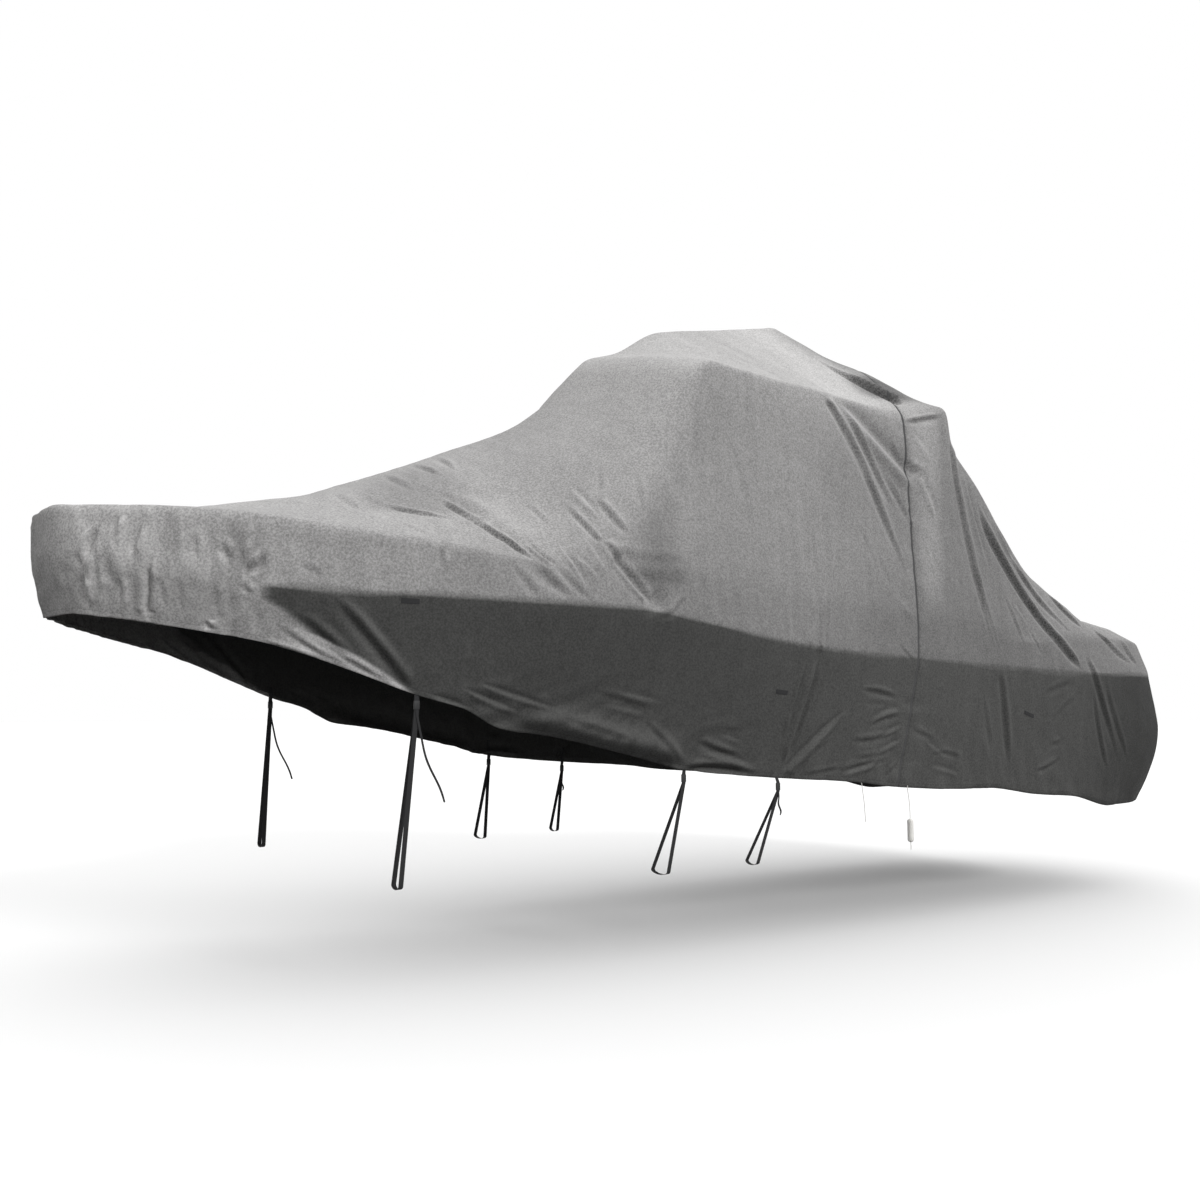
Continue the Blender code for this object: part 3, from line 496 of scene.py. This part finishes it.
    (1001, 672, 1006, 718, 1010, 778, 21, 0.74, 34, 10), (982, 690, 988, 720, 992, 758, 16, 0.34),
    (1040, 696, 1060, 685, 1078, 680, 16, 0.54), (1034, 770, 1047, 766, 1059, 756, 14, 0.94),
    (1050, 745, 1056, 742, 1060, 738, 14, 0.68), (1050, 725, 1064, 706, 1078, 696, 16, 0.41),
    # stern
    (1091, 628, 1110, 645, 1136, 667, 13, 1.62), (1120, 640, 1128, 652, 1140, 668, 16, 1.08),
    (1086, 656, 1098, 686, 1120, 772, 18, 0.94), (1092, 680, 1100, 735, 1109, 774, 16, 0.68, 34, 35),
    (1102, 668, 1116, 720, 1128, 764, 16, 0.54, 34, 35))
FRAME, MILLIMETRE = 1200, 0.001
FAR_SIDE_SHIFT, FAR_SIDE_DEPTH = -0.12, 0.8
ROUTE_STEPS, NARROW_END = 16, 0.45
REACH_WIDTHS, REACH_MORE = 3.5, 0.05
LIGHTWARD = np.array((0.45, 0, 0.85))


def outward(grid):
    """Unit normals of a grid of points that closes on itself at the stem and the stern."""
    face = np.cross(grid[1:, 1:] - grid[:-1, :-1], grid[:-1, 1:] - grid[1:, :-1])
    normal = np.zeros_like(grid)
    for i in (slice(None, -1), slice(1, None)):
        for j in (slice(None, -1), slice(1, None)):
            normal[i, j] += face
    normal[[0, -1], :, 1] = 0
    return unit(normal)


# The port side's form as the view sees it, to find the cloth under a point of the frame
look_s, look_v = np.meshgrid(np.linspace(0, STERN, 800), np.linspace(-HEM_ROW, 0, 560),
                             indexing="ij")
port_side = form(look_s.ravel(), -look_v.ravel()).reshape(*look_s.shape, 3) * (1, -1, 1)
away = port_side - HELD_AT - np.array(camera.location)
rightward = np.array((sin(TURN), -cos(TURN), 0))
upward = np.cross(rightward, sight)
scale = FRAME * camera_data.lens / camera_data.sensor_width / (away @ np.array(sight))
across, down = FRAME / 2 + scale * (away @ rightward), FRAME / 2 - scale * (away @ upward)
hidden = np.einsum("ijk,ijk->ij", outward(port_side), away) > 0
HIDDEN_COST = 40


def under(x, y):
    """Station and girth row of the cloth that is seen at a point of the frame."""
    k = np.argmin(np.hypot(across - x, down - y) + HIDDEN_COST * hidden)
    return look_s.flat[k], -look_v.flat[k]


def on_form(x0, y0, x1, y1, x2, y2, width, steep, run_out=34, rise=34, ridge=0):
    """A fold with its three points as stations and girth rows."""
    return (*under(x0, y0), *under(x1, y1), *under(x2, y2), width, steep, rise, run_out, ridge)


def bent(t, start, middle, end):
    """The place t of the way along the curve through three points."""
    return (1 - t) * (1 - 2 * t) * start + 4 * t * (1 - t) * middle + t * (2 * t - 1) * end


def rising(value, start, span):
    """0 up to start, then evenly up to 1 over the span."""
    return np.clip((value - start) / span, 0, 1)


ROUTES = [on_form(*fold) for fold in FOLDS]


def fold_lift(point, normal, shift):
    """How far the folds of one side lift or sink each point of it."""
    total = np.zeros(len(point))
    share = np.linspace(0, 1, ROUTE_STEPS + 1)[:, None]
    for s0, v0, s1, v1, s2, v2, width, steep, rise, run_out, ridge in ROUTES:
        start, middle, end = form(np.clip(np.array((s0, s1, s2)) + shift, 0, STERN),
                                  np.array((v0, v1, v2)))
        route = bent(share, start, middle, end)
        reach = REACH_WIDTHS * width * MILLIMETRE + REACH_MORE
        near = np.all((point > route.min(0) - reach) & (point < route.max(0) + reach), axis=1)
        near = np.flatnonzero(near)
        if not len(near):
            continue
        beside = near[np.argmin(norm(point[near] - middle, axis=1))]
        lean = np.sign(np.cross(normal[beside], end - start) @ LIGHTWARD)
        best = np.full(len(near), np.inf)
        part, side = np.zeros((2, len(near)))
        for k in range(ROUTE_STEPS):
            way = route[k + 1] - route[k]
            length = norm(way)
            gap = point[near] - route[k]
            along = np.clip(gap @ way / length**2, 0, 1)
            away = norm(gap - along[:, None] * way, axis=1)
            across = np.einsum("ij,ij->i", gap, np.cross(normal[near], way / length))
            closer = away < best
            best = np.where(closer, away, best)
            part = np.where(closer, (k + along) / ROUTE_STEPS, part)
            side = np.where(closer, across, side)
        fade = rising(part * 100, 0, rise) * rising((1 - part) * 100, 0, run_out)
        fade = fade * fade * (3 - 2 * fade)
        off = side / (width * MILLIMETRE * (NARROW_END + (1 - NARROW_END) * fade))
        slant = lean * steep * width * off
        total[near] += MILLIMETRE * (ridge + slant) * fade * np.exp(-off * off / 2)
    return total


# Rows along the girth, closer on the rounded edges and where the folds are; fine to port
PER_ROW, BEND_LENGTH = 100, 0.07
FOLD_ALONG, FOLD_ROUND, MORE_ROWS, CROWDING = 0.13, 0.16, 2.6, 0.55
fine = np.linspace(0, HEM_ROW, HEM_ROW * PER_ROW + 1)
measure = np.zeros(len(fine))
for station in (2.6, 4.3):
    step = np.diff(form(np.full(len(fine), station), fine), axis=0)
    length = norm(step, axis=1)
    bend = np.zeros(len(step))
    bend[1:] = np.arccos(np.clip(np.einsum("ij,ij->i", step[1:], step[:-1])
                                 / length[1:] / length[:-1], -1, 1))
    measure[1:] += length + BEND_LENGTH * bend
HALF_COUNT, SEAM_GAP = 165, 0.0003
SPACING = ((0.0, 0.4, 20), (0.4, 1.35, 84), (1.35, 1.6, 10), (1.6, 2.1, 26), (2.1, 3.5, 130),
           (3.5, 4.3, 34), (4.3, 4.75, 62), (4.75, SEAM - SEAM_GAP, 72),
           (SEAM + SEAM_GAP, 6.6, 130), (6.6, 7.9, 110), (7.9, STERN, 60))
STATIONS = np.concatenate([np.linspace(start, end, count,
                                       endpoint=end in (SEAM - SEAM_GAP, STERN))
                           for start, end, count in SPACING])
FRONT_COLUMNS = int(np.searchsorted(STATIONS, SEAM))
busy = np.zeros((len(STATIONS), len(fine)))
for s0, v0, s1, v1, s2, v2, width, *shape in ROUTES:
    for t in np.linspace(0.1, 0.9, 9):
        beside = np.exp(-((STATIONS - bent(t, s0, s1, s2)) / FOLD_ALONG)**2)[:, None]
        level = np.exp(-((fine - bent(t, v0, v1, v2)) / FOLD_ROUND)**2)
        busy += beside * level * min(1.0, 20 / width)
reached = np.cumsum(measure * (1 + MORE_ROWS * np.tanh(CROWDING * busy)), axis=1)
share = ((reached[:, PER_ROW::PER_ROW] - reached[:, :-1:PER_ROW]) / reached[:, -1:]).mean(0)
counts = np.round(HALF_COUNT * share).astype(int)
counts[4] += HALF_COUNT - counts.sum()
half_rows = [np.zeros((len(STATIONS), 1))]
for k, count in enumerate(counts):
    inside = slice(PER_ROW * k, PER_ROW * (k + 1) + 1)
    half_rows.append([np.interp(np.linspace(total[0], total[-1], count + 1)[1:], total,
                                fine[inside]) for total in reached[:, inside]])
HALF_ROWS = np.concatenate(half_rows, axis=1)
v_grid = np.concatenate([-HALF_ROWS[:, :0:-1], HALF_ROWS[:, ::3]], axis=1)
s_grid = np.repeat(STATIONS[:, None], v_grid.shape[1], axis=1)
flat_s, flat_v = s_grid.ravel(), v_grid.ravel()
flat_row = np.abs(flat_v)
port_form = form(flat_s, flat_row)
mirror = np.where(flat_v < 0, -1, 1)[:, None] ** np.array((0, 1, 0))
cloth = (port_form * mirror).reshape(*s_grid.shape, 3)
unfolded_normal = outward(cloth)
port_normal = unfolded_normal.reshape(-1, 3) * mirror
lift = np.where(flat_v < 0, fold_lift(port_form, port_normal, 0.0),
                FAR_SIDE_DEPTH * fold_lift(port_form, port_normal, FAR_SIDE_SHIFT))
girth = np.zeros(s_grid.shape)
middle = HALF_ROWS.shape[1] - 1
girth[:, 1:] = np.cumsum(norm(np.diff(cloth, axis=1), axis=-1), axis=1)
girth -= girth[:, middle:middle + 1].copy()
below_spine = np.abs(girth)
above_hem = below_spine[:, -1:] - below_spine
above_hem[:, :middle] = below_spine[:, :1] - below_spine[:, :middle]

# Small slack: broad waves, upright ripples on the walls, crumpling at the bow, and puckers at the
# hem and the seam. Each is a noise: its change per metre along, slanted, round the girth and
# across, its shift, its height and where it is strong.
everywhere = np.ones(len(flat_s))
wall = rising(flat_row, 1.6, 0.8)
at_bow = rising(1.75 - flat_s, 0, 0.5) * rising(flat_row, 3.6, 0.8)
near_hem = 1 - rising(above_hem.ravel(), 0, 0.45)
dragged = near_hem * rising(flat_s, 2.1, 0.3) * rising(4.3 - flat_s, 0, 0.4)
near_seam = (1 - rising(np.abs(flat_s - SEAM), 0, 0.30))**2 * (flat_row > 1.5)
SLACK = (
    (2.1, 0, 1.7, 1.1, 0, 0.010, everywhere), (7.5, 1, 0.9, 1.3, 4, 0.0035, wall),
    (11, 0, 9, 2, 9, 0.0022, everywhere), (14, 0, 3, 1, 2, 0.007, at_bow),
    (26, 0, 13, 1, 7, 0.004, at_bow), (6, 0, 3, 1, 3, 0.007, near_hem),
    (17, 0, 10, 1, 5, 0.004, near_hem), (2.2, 0, 17, 1, 6, 0.010, dragged),
    (3, 0, 15, 1, 8, 0.0055, near_seam))
ripples = np.zeros(len(flat_s))
for along, slant, round_it, across_it, shift, high, strong in SLACK:
    there = np.flatnonzero(strong)
    s, g, y = flat_s[there], below_spine.ravel()[there], port_form[there, 1]
    at = np.stack([s * along + g * slant, g * round_it, y * across_it + shift], axis=1)
    ripples[there] += high * strong[there] * [noise.noise(Vector(place)) for place in at]
SEAM_DEPTH, SEAM_HALF = 0.006, 0.016
seam_draw = -SEAM_DEPTH * np.exp(-((flat_s - SEAM) / SEAM_HALF)**2)
free = rising(flat_row, 0, 0.5) * rising(flat_s, 0, 0.25) * rising(STERN - flat_s, 0, 0.3)
height = (lift * free + ripples + seam_draw).reshape(s_grid.shape)
cloth += unfolded_normal * height[..., None]
cloth[:, middle, 1] = 0
cloth_normal = outward(cloth)
# Painted light and shade on the folds: faces that the folds turn towards LIGHTWARD are painted lighter,
# faces turned away darker.
SHADE_TOWARD_LIGHT, SHADE_AWAY_FROM_LIGHT = 2.2, 1.4
turned = (cloth_normal - unfolded_normal) @ LIGHTWARD
painted_fold_shade = np.clip(np.where(turned > 0, SHADE_TOWARD_LIGHT, SHADE_AWAY_FROM_LIGHT) * turned, -1.5, 1)
cloth -= HELD_AT


def on_cloth(station, row, off=0.0):
    """A point on the hung cloth and its normal; port rows are negative."""
    i = int(np.clip(np.searchsorted(STATIONS, station) - 1, 0, len(STATIONS) - 2))
    a = (station - STATIONS[i]) / (STATIONS[i + 1] - STATIONS[i])
    rows = (1 - a) * v_grid[i] + a * v_grid[i + 1]
    j = int(np.clip(np.searchsorted(rows, row) - 1, 0, len(rows) - 2))
    b = (row - rows[j]) / (rows[j + 1] - rows[j])
    weight = np.array([[(1 - a) * (1 - b), (1 - a) * b], [a * (1 - b), a * b]])[..., None]
    cell = (slice(i, i + 2), slice(j, j + 2))
    normal = unit((cloth_normal[cell] * weight).sum((0, 1)))
    return (cloth[cell] * weight).sum((0, 1)) + normal * off, normal


class Woven(Finish):
    """A finish that follows the flat cloth, in metres, and the tables on its points."""

    def attribute(self, name):
        return self.add("Attribute", out=2, attribute_name=name)

    def sewn_place(self, scale=(1.0, 1.0, 1.0)):
        return self.add("Mapping", {"Vector": self.add("UVMap", uv_map="sewn"), "Scale": scale})

    def clear(self, value, low, high):
        """0 up to low, 1 from high, smooth between."""
        return self.add("MapRange", {"Value": value, "From Min": low, "From Max": high},
                        interpolation_type="SMOOTHSTEP")

    def mix(self, share, first, second):
        return self.add("Mix", {0: share, 6: first, 7: second}, out=2, data_type="RGBA")

    def bands(self, direction, pitch, wander=0.0):
        """Ridges a pitch apart in metres; a wave node at a scale of 0.314 has one to a metre."""
        return self.add("TexWave", {"Vector": self.sewn_place(), "Scale": 0.314 / pitch,
                                    "Distortion": wander}, out=1, bands_direction=direction)

    def weave(self, pitch):
        """Plain weave: the ridges of warp and weft."""
        return self.bands("X", pitch) * self.bands("Y", pitch)


grey = Woven("cover_cloth_woven", 0.85)
cloud = grey.mottle(grey.place(), 1.7, 4.0, 0.6)
patch = grey.mottle(grey.place(), 14.0, 3.0, 0.6)
grain = grey.clear(grey.mottle(grey.place(), 95.0, 3.0, 0.7), 0.32, 0.68)
streak = grey.mottle(grey.sewn_place((13.0, 1.3, 1.0)), 1.0, 4.0, 0.6)
weft = grey.weave(0.0012)
hem_height = grey.attribute("above_hem")
hem_line = 1 - grey.clear(hem_height, 0.0235, 0.0250) + grey.clear(hem_height, 0.0265, 0.0280)
sewing = (1 - hem_line) * (0.4 + 0.6 * grey.bands("X", 0.004))
# The 0.44 fold term and the tone attribute paint light and shade into the colour; the noises, weave and
# sewing are the cloth's own.
level = (0.41 + 0.16 * cloud + 0.24 * patch + 0.56 * grain + 0.30 * streak + 0.06 * weft
         + 0.44 * grey.attribute("painted_fold_shade") - 0.35 * sewing)
# The darker grey mixed in for the skirt is painted shade.
base = grey.mix(grey.attribute("outside_skirt_shade"), (0.098, 0.098, 0.095), (0.275, 0.271, 0.269))
rub = grey.mottle(grey.sewn_place((30.0, 30.0, 1.0)), 1.0, 5.0, 0.65)
wrinkle = grey.mottle(grey.sewn_place((16.0, 5.0, 1.0)), 1.0, 3.0, 0.55)
relief = grey.bump(wrinkle, 0.55, 0.006)
relief = grey.bump(rub, 0.35, 0.0025, relief)
relief = grey.bump(0.6 * grain + 0.5 * weft - 1.5 * sewing, 0.35, 0.0012, relief)
COVER_CLOTH = grey.output(base_color=grey.shade(base, level * grey.attribute("tone")),
                          roughness=0.78 + 0.16 * patch, normal=relief)

# How light or dark the cloth is painted, as painted light and shade along its length, round its girth and
# on the roof: pairs of places and levels, at stations or at girth rows
UPPER = ((0, 0.25, 0.45, 0.7, 1.0, 1.3, 1.7, 2.2, 3.0, 3.5, 4.4, 5.4, 6.2, 8.2),
         (0.74, 1.05, 1.44, 1.34, 1.22, 1.12, 1.03, 1.02, 0.87, 0.91, 0.92, 0.72, 0.64, 0.98))
SKIRT_SHADE_TONE = ((1.3, 2.5, 4.0, 5.5, 7.0, 8.2), (0.50, 0.45, 0.52, 0.64, 0.56, 0.09))
SLOPE = ((1.2, 2.0, 2.3, 3.0, 3.5), (0.15, 0.3, 0.75, 0.6, 1))
SLOPE_ROWS = ((2.0, 2.6, 3.1, 3.6, 4.8), (-0.16, -0.08, 0.12, 0.29, 0.33))
ROOF = ((3.40, 3.80, 4.5, 4.9, 5.20, 5.80), (0, 0.34, 0.20, 0.58, 0.58, 0))
# Soft painted marks to port, painted shade in hollows, creases and under folds, and painted light
# where the value is negative: station, row, half length, half depth, how dark; paler where the
# value is negative
PAINTED_LIGHT_AND_SHADE_MARKS = (
    (3.39, 3.75, 0.16, 0.95, 0.36), (2.1, 1, 0.36, 0.8, 0.24), (1.95, 3.2, 0.5, 1, -0.12),
    (5.45, 0.2, 0.35, 0.75, 0.6), (5.38, 1.05, 0.24, 0.16, 0.62), (5.55, 2.8, 0.1, 0.5, -0.35),
    (6.5, 4, 0.2, 0.6, -0.25), (0.93, 4.9, 0.035, 0.5, 0.2), (1.22, 5.1, 0.045, 0.5, 0.26),
    (1.3, 5.3, 0.035, 0.4, 0.24))


def painted_light_and_shade(station, rows, to_port):
    """The cloth's tone, all of it painted light and shade, and how far it takes the skirt's dark grey,
    which is painted shade.
    """
    skirt = rising(rows, 5.95, 0.10)
    upper = np.interp(station, *UPPER)
    upper = upper * (1 - np.interp(station, *SLOPE) * np.interp(rows, *SLOPE_ROWS))
    roof = np.interp(station, *ROOF) * np.interp(rows, (1.7, 2.3), (1, 0))
    tone = (upper + roof) * (1 - skirt) + np.interp(station, *SKIRT_SHADE_TONE) * skirt
    # the painted skirt shade starts only behind the bow, with a paler band of less painted shade just
    # behind its start
    past = station - 0.25 * np.maximum(rows - 6.85, 0) - np.maximum(rows - 7.6, 0)
    light = 0.09 * np.exp(-((station - 1.58 - 0.14 * (rows - 6)) / 0.07)**2) * (rows > 6)
    skirt = np.maximum(skirt * rising(past, 1.29, 0.06) - light * skirt, 0)
    tone = np.where(rows > 5.9, upper * (1 - skirt) + tone * skirt, tone)
    # the painted shadow along the cross seam, and painted shade behind the turn from the front of the roof
    # to its wall with painted light just in front of it
    tone = tone * (1 - 0.5 * np.exp(-((station - SEAM) / 0.010)**2))
    behind = rising(station + 0.12 * rows, 3.98, 0.03)
    shade = (behind * np.interp(station, (3.75, 4.4), (1, 0))
             - 0.6 * (1 - behind) * np.interp(station, (3.3, 3.65), (0, 1)))
    tone = tone * (1 - 0.06 * shade * np.interp(rows, (1.9, 2.2, 2.9, 3.3), (0, 1, 1, 0)))
    for at, row, long, deep, depth in PAINTED_LIGHT_AND_SHADE_MARKS:
        reach = ((station - at) / long)**2 + ((rows - row) / deep)**2
        tone = tone * (1 - depth * np.exp(-reach * reach) * to_port)
    return tone, skirt


def face_up(bm):
    """A sheet with its faces turned outwards: the highest one looks up."""
    bmesh.ops.recalc_face_normals(bm, faces=bm.faces[:])
    if max(bm.faces, key=lambda face: face.calc_center_median().z).normal.z < 0:
        bmesh.ops.reverse_faces(bm, faces=bm.faces[:])
    return bm


HEM_BEHIND, HEM_FOLD, HEM_DROP = 0.0018, 0.0026, 0.0008


def cloth_panel(name, first, last):
    """One panel with its turned hem; the closed end is the stem or the stern."""
    part = slice(first, last)
    own, normal = cloth[part], cloth_normal[part]
    turned_in = []
    for edge, next_row in ((0, 1), (-1, -2)):
        fold = own[:, edge] - normal[:, edge] * HEM_BEHIND
        fold[:, 2] -= HEM_DROP
        turned_in.append((fold, own[:, next_row] - normal[:, next_row] * HEM_FOLD))
    points = np.concatenate([np.stack(turned_in[0][::-1], 1), own, np.stack(turned_in[1], 1)],
                            axis=1)
    hem_rows = ((0, 0), (2, 2))
    across, rows, fold_shade = (np.pad(table[part], hem_rows, mode="edge")
                           for table in (girth, np.abs(v_grid), painted_fold_shade))
    station = STATIONS[part, None]
    tone, skirt = painted_light_and_shade(station, rows, points[..., 1] < 0)
    flat = np.stack([station + 0 * across, across], axis=-1)
    bm = skin(points, flat, {"above_hem": np.pad(above_hem[part], hem_rows),
                             "outside_skirt_shade": 1 - skirt, "painted_fold_shade": fold_shade, "tone": tone})
    ends = [vert for vert in bm.verts if abs(vert.co.y) < 1e-4]
    bmesh.ops.remove_doubles(bm, verts=ends, dist=1e-4)
    return finished(name, face_up(bm), COVER_CLOTH, "cover_cloth",
                    name.replace("cloth_", "") + "_panel")


front = cloth_panel("cloth_front", 0, FRONT_COLUMNS)
aft = cloth_panel("cloth_aft", FRONT_COLUMNS, len(STATIONS))

# ---- Cross seam tape ----
# A narrow dark woven tape sewn over the seam between the panels, from hem to hem, with fine
# ridges across it every 4 mm in its relief.
tape = Woven("seam_tape_woven", 0.8)
ribs = tape.weave(0.0011)
tape_wear = tape.mottle(tape.place(), 14.0, 4.0, 0.6)
SEAM_TAPE = tape.output(
    base_color=tape.shade((0.060, 0.060, 0.061), 0.70 + 0.35 * tape_wear + 0.25 * ribs),
    roughness=0.72 + 0.18 * tape_wear,
    normal=tape.bump(ribs + 0.5 * tape.bands("Y", 0.004), 0.5, 0.0006))
TAPE_HALF, TAPE_CROWN = 0.007, (0.0001, 0.0012, 0.0016, 0.0012, 0.0001)
tape_across = np.linspace(-TAPE_HALF, TAPE_HALF, len(TAPE_CROWN))
tape_points = [[on_cloth(SEAM + wide, row, crown)[0]
                for wide, crown in zip(tape_across, TAPE_CROWN)] for row in v_grid[FRONT_COLUMNS]]
tape_flat = [[(wide, around) for wide in tape_across] for around in girth[FRONT_COLUMNS]]
finished("cross_seam_tape", face_up(skin(tape_points, tape_flat)), SEAM_TAPE,
         "seam_tape", "seam_tape")

# ---- Webbing tabs ----
# Short lengths of black polyester webbing, 25 mm wide, three to a side. They are sewn flat to
# the outside of the skirt and follow its cloth.
webbing = Woven("black_webbing_woven", 0.7)
herring = webbing.bands("DIAGONAL", 0.0022, 0.6)
cross_rib = webbing.weave(0.0016)
dirt = webbing.mottle(webbing.place(), 30.0, 4.0, 0.6)
BLACK_WEBBING = webbing.output(
    base_color=webbing.shade((0.016, 0.016, 0.017), 0.55 + 0.5 * dirt + 0.35 * herring),
    roughness=0.62 + 0.2 * dirt,
    normal=webbing.bump(0.6 * herring + 0.4 * cross_rib, 0.6, 0.0006))
WEBBING_WIDTH, WEBBING = 0.025, 0.0015
TAB_LENGTH, TAB_LIFT = 0.088, 0.0014
TABS = ((1.98, 6.40, 0.0), (4.27, 7.20, 0.0), (6.43, 7.20, 0.010))
SIDES = (("port", -1), ("starboard", 1))


def strip(name, node, path, across, width=WEBBING_WIDTH, thick=WEBBING):
    """Webbing along a path, with its width along the direction given for each point."""
    path, across = np.array(path), unit(np.array(across, float))
    face = unit(np.cross(np.gradient(path, axis=0), across))
    half, top, soft = width / 2, thick / 2, thick * 0.3
    upper = [(-half + soft, top), (-half * 0.5, top), (0.0, top), (half * 0.5, top),
             (half - soft, top), (half, top - soft), (half, soft - top)]
    profile = np.array([*upper, *(np.array(upper) * -1), upper[0]])
    wide, deep = profile[:, :1], profile[:, 1:]
    points = path[:, None] + across[:, None] * wide + face[:, None] * deep
    flat = [[(offset, run) for offset in profile[:, 0]] for run in run_along(path)]
    piece = finished(name, closed(skin(points, flat)), BLACK_WEBBING, "black_webbing", node)
    piece.data.set_sharp_from_angle(angle=0.6)


for side, sign in SIDES:
    for number, (station, row, fall) in enumerate(TABS, 1):
        path, wide = [], []
        for a in np.linspace(-0.5, 0.5, 13):
            here, out = on_cloth(station + TAB_LENGTH * a, sign * row)
            lower = on_cloth(station + TAB_LENGTH * a, sign * (row + 0.05))[0]
            down = unit(lower - here)
            path.append(here + down * fall * a * 2 + out * TAB_LIFT)
            wide.append(down - out * (down @ out))
        strip(f"webbing_tab_{side}_{number}", f"tab_{side}_{number}", path, wide)

# ---- Strap loops ----
# Loops of the same webbing, sewn inside the hem three to a side. Both legs go down through a
# sliding keeper and round below, where a frame bar would sit.
STRAPS = ((2.03, 1.466, 0.99, 0.483, 0.080), (3.70, 2.978, 1.02, 0.437, 0.140),
          (4.36, 3.594, 1.06, 0.446, 0.095))
SEWN_ROWS, SEWN_DEPTH = (7.86, 7.91, 7.955, 7.995), 0.0042
SPREAD, TURN_DROP, KEEPER_HALF = WEBBING / 2 + 0.0003, 0.020, 0.024
DOWN = np.array((0.0, 0.0, -1.0))


def keeper_middle(name):
    """The middle of a keeper's place on its strap."""
    return np.mean(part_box(name), axis=0)


for side, sign in SIDES:
    out = np.array((0.0, sign, 0.0))
    for number, (station, x, y, z, depth) in enumerate(STRAPS, 1):
        path, wide = [], []
        for row in SEWN_ROWS:
            point, normal = on_cloth(station, sign * row, -SEWN_DEPTH)
            path.append(point)
            wide.append(on_cloth(station + 0.02, sign * row, -SEWN_DEPTH)[0] - point)
        keeper = keeper_middle(f"keeper_{side}_{number}")
        bottom = np.array((x, sign * y, z + TURN_DROP)) - HELD_AT
        outer = [keeper + out * SPREAD + DOWN * drop for drop in (-KEEPER_HALF, 0, KEEPER_HALF)]
        inner = [keeper - out * SPREAD + DOWN * drop for drop in (KEEPER_HALF, 0, -KEEPER_HALF)]
        legs = np.linspace(0.04, 1, 24)[:, None]
        path += outer + list(outer[-1] + (bottom + out * depth / 2 - outer[-1]) * legs)
        path += [bottom + out * depth / 2 * cos(a) + DOWN * TURN_DROP * sin(a)
                 for a in np.linspace(0, pi, 17)[1:-1]]
        path += list(inner[0] + (bottom - out * depth / 2 - inner[0]) * legs[::-1]) + inner
        wide += [np.array((1.0, 0.0, 0.0))] * (len(path) - len(wide))
        strip(f"webbing_loop_{side}_{number}", f"strap_{side}_{number}", path, wide)

# ---- Keepers ----
# Flat sleeves of moulded black plastic, one to a loop. The two legs of the loop go through and
# are held together under the hem.
moulded = Finish("keeper_plastic_moulded", 0.45)
pebble = moulded.mottle(moulded.place(), 900.0, 2.0)
scuff = moulded.mottle(moulded.place(), 60.0, 4.0, 0.6)
KEEPER_PLASTIC = moulded.output(
    base_color=moulded.shade((0.022, 0.022, 0.023), 0.75 + 0.5 * scuff),
    roughness=0.38 + 0.25 * scuff, normal=moulded.bump(pebble, 0.25, 0.0004))
KEEPER_SIZE, KEEPER_WALL = (0.030, 0.0086, 0.040), 0.0022
CORNER_ROUNDING, RIM_ROUNDING = 0.0024, 0.0006
for side in ("port", "starboard"):
    for number in (1, 2, 3):
        bm = bmesh.new()
        bmesh.ops.create_cube(bm, size=1.0)
        bmesh.ops.scale(bm, vec=KEEPER_SIZE, verts=bm.verts[:])
        ends = [face for face in bm.faces if abs(face.normal.z) > 0.9]
        bmesh.ops.delete(bm, geom=ends, context="FACES_ONLY")
        upright = [edge for edge in bm.edges if len(edge.link_faces) == 2]
        bmesh.ops.bevel(bm, geom=upright, offset=CORNER_ROUNDING, segments=4, profile=0.5,
                        affect="EDGES", material=-1)
        bmesh.ops.solidify(bm, geom=bm.faces[:], thickness=KEEPER_WALL)
        bmesh.ops.recalc_face_normals(bm, faces=bm.faces[:])
        rims = [edge for edge in bm.edges if abs(edge.verts[0].co.z - edge.verts[1].co.z) < 1e-6
                and len(edge.link_faces) == 2 and edge.calc_face_angle() > 1.2]
        bmesh.ops.bevel(bm, geom=rims, offset=RIM_ROUNDING, segments=2, profile=0.5,
                        affect="EDGES", material=-1)
        middle_place = Vector(keeper_middle(f"keeper_{side}_{number}"))
        bmesh.ops.translate(bm, verts=bm.verts[:], vec=middle_place)
        sleeve = finished(f"sliding_keeper_{side}_{number}", bm, KEEPER_PLASTIC,
                          "keeper_plastic", f"keeper_{side}_{number}")
        sleeve.data.set_sharp_from_angle(angle=0.7)

# ---- Loose tails ----
# The free ends of the first and third loops, in narrow webbing that hangs below the keepers
# and sways a little aft.
TAIL_WIDTH, TAIL, TAIL_OUT, TAIL_TOP = 0.012, 0.0012, 0.0032, -0.0203
for side, sign in SIDES:
    for number, sway, drop in ((1, 0.15, 0.44), (3, 0.01, 0.14)):
        top = keeper_middle(f"keeper_{side}_{number}") + (0.0, sign * TAIL_OUT, TAIL_TOP)
        t = np.linspace(0, 1, 40)
        path = top + np.stack([sway * t**1.5 + 0.010 * np.sin(3 * pi * t) * t, 0 * t, -drop * t],
                              axis=1)
        lean = 0.5 * np.sin(2.2 * pi * t) * t
        wide = np.stack([np.cos(lean), np.sin(lean), 0 * t], axis=1)
        strip(f"webbing_tail_{side}_{number}", f"tail_{side}_{number}", path, wide,
              TAIL_WIDTH, TAIL)
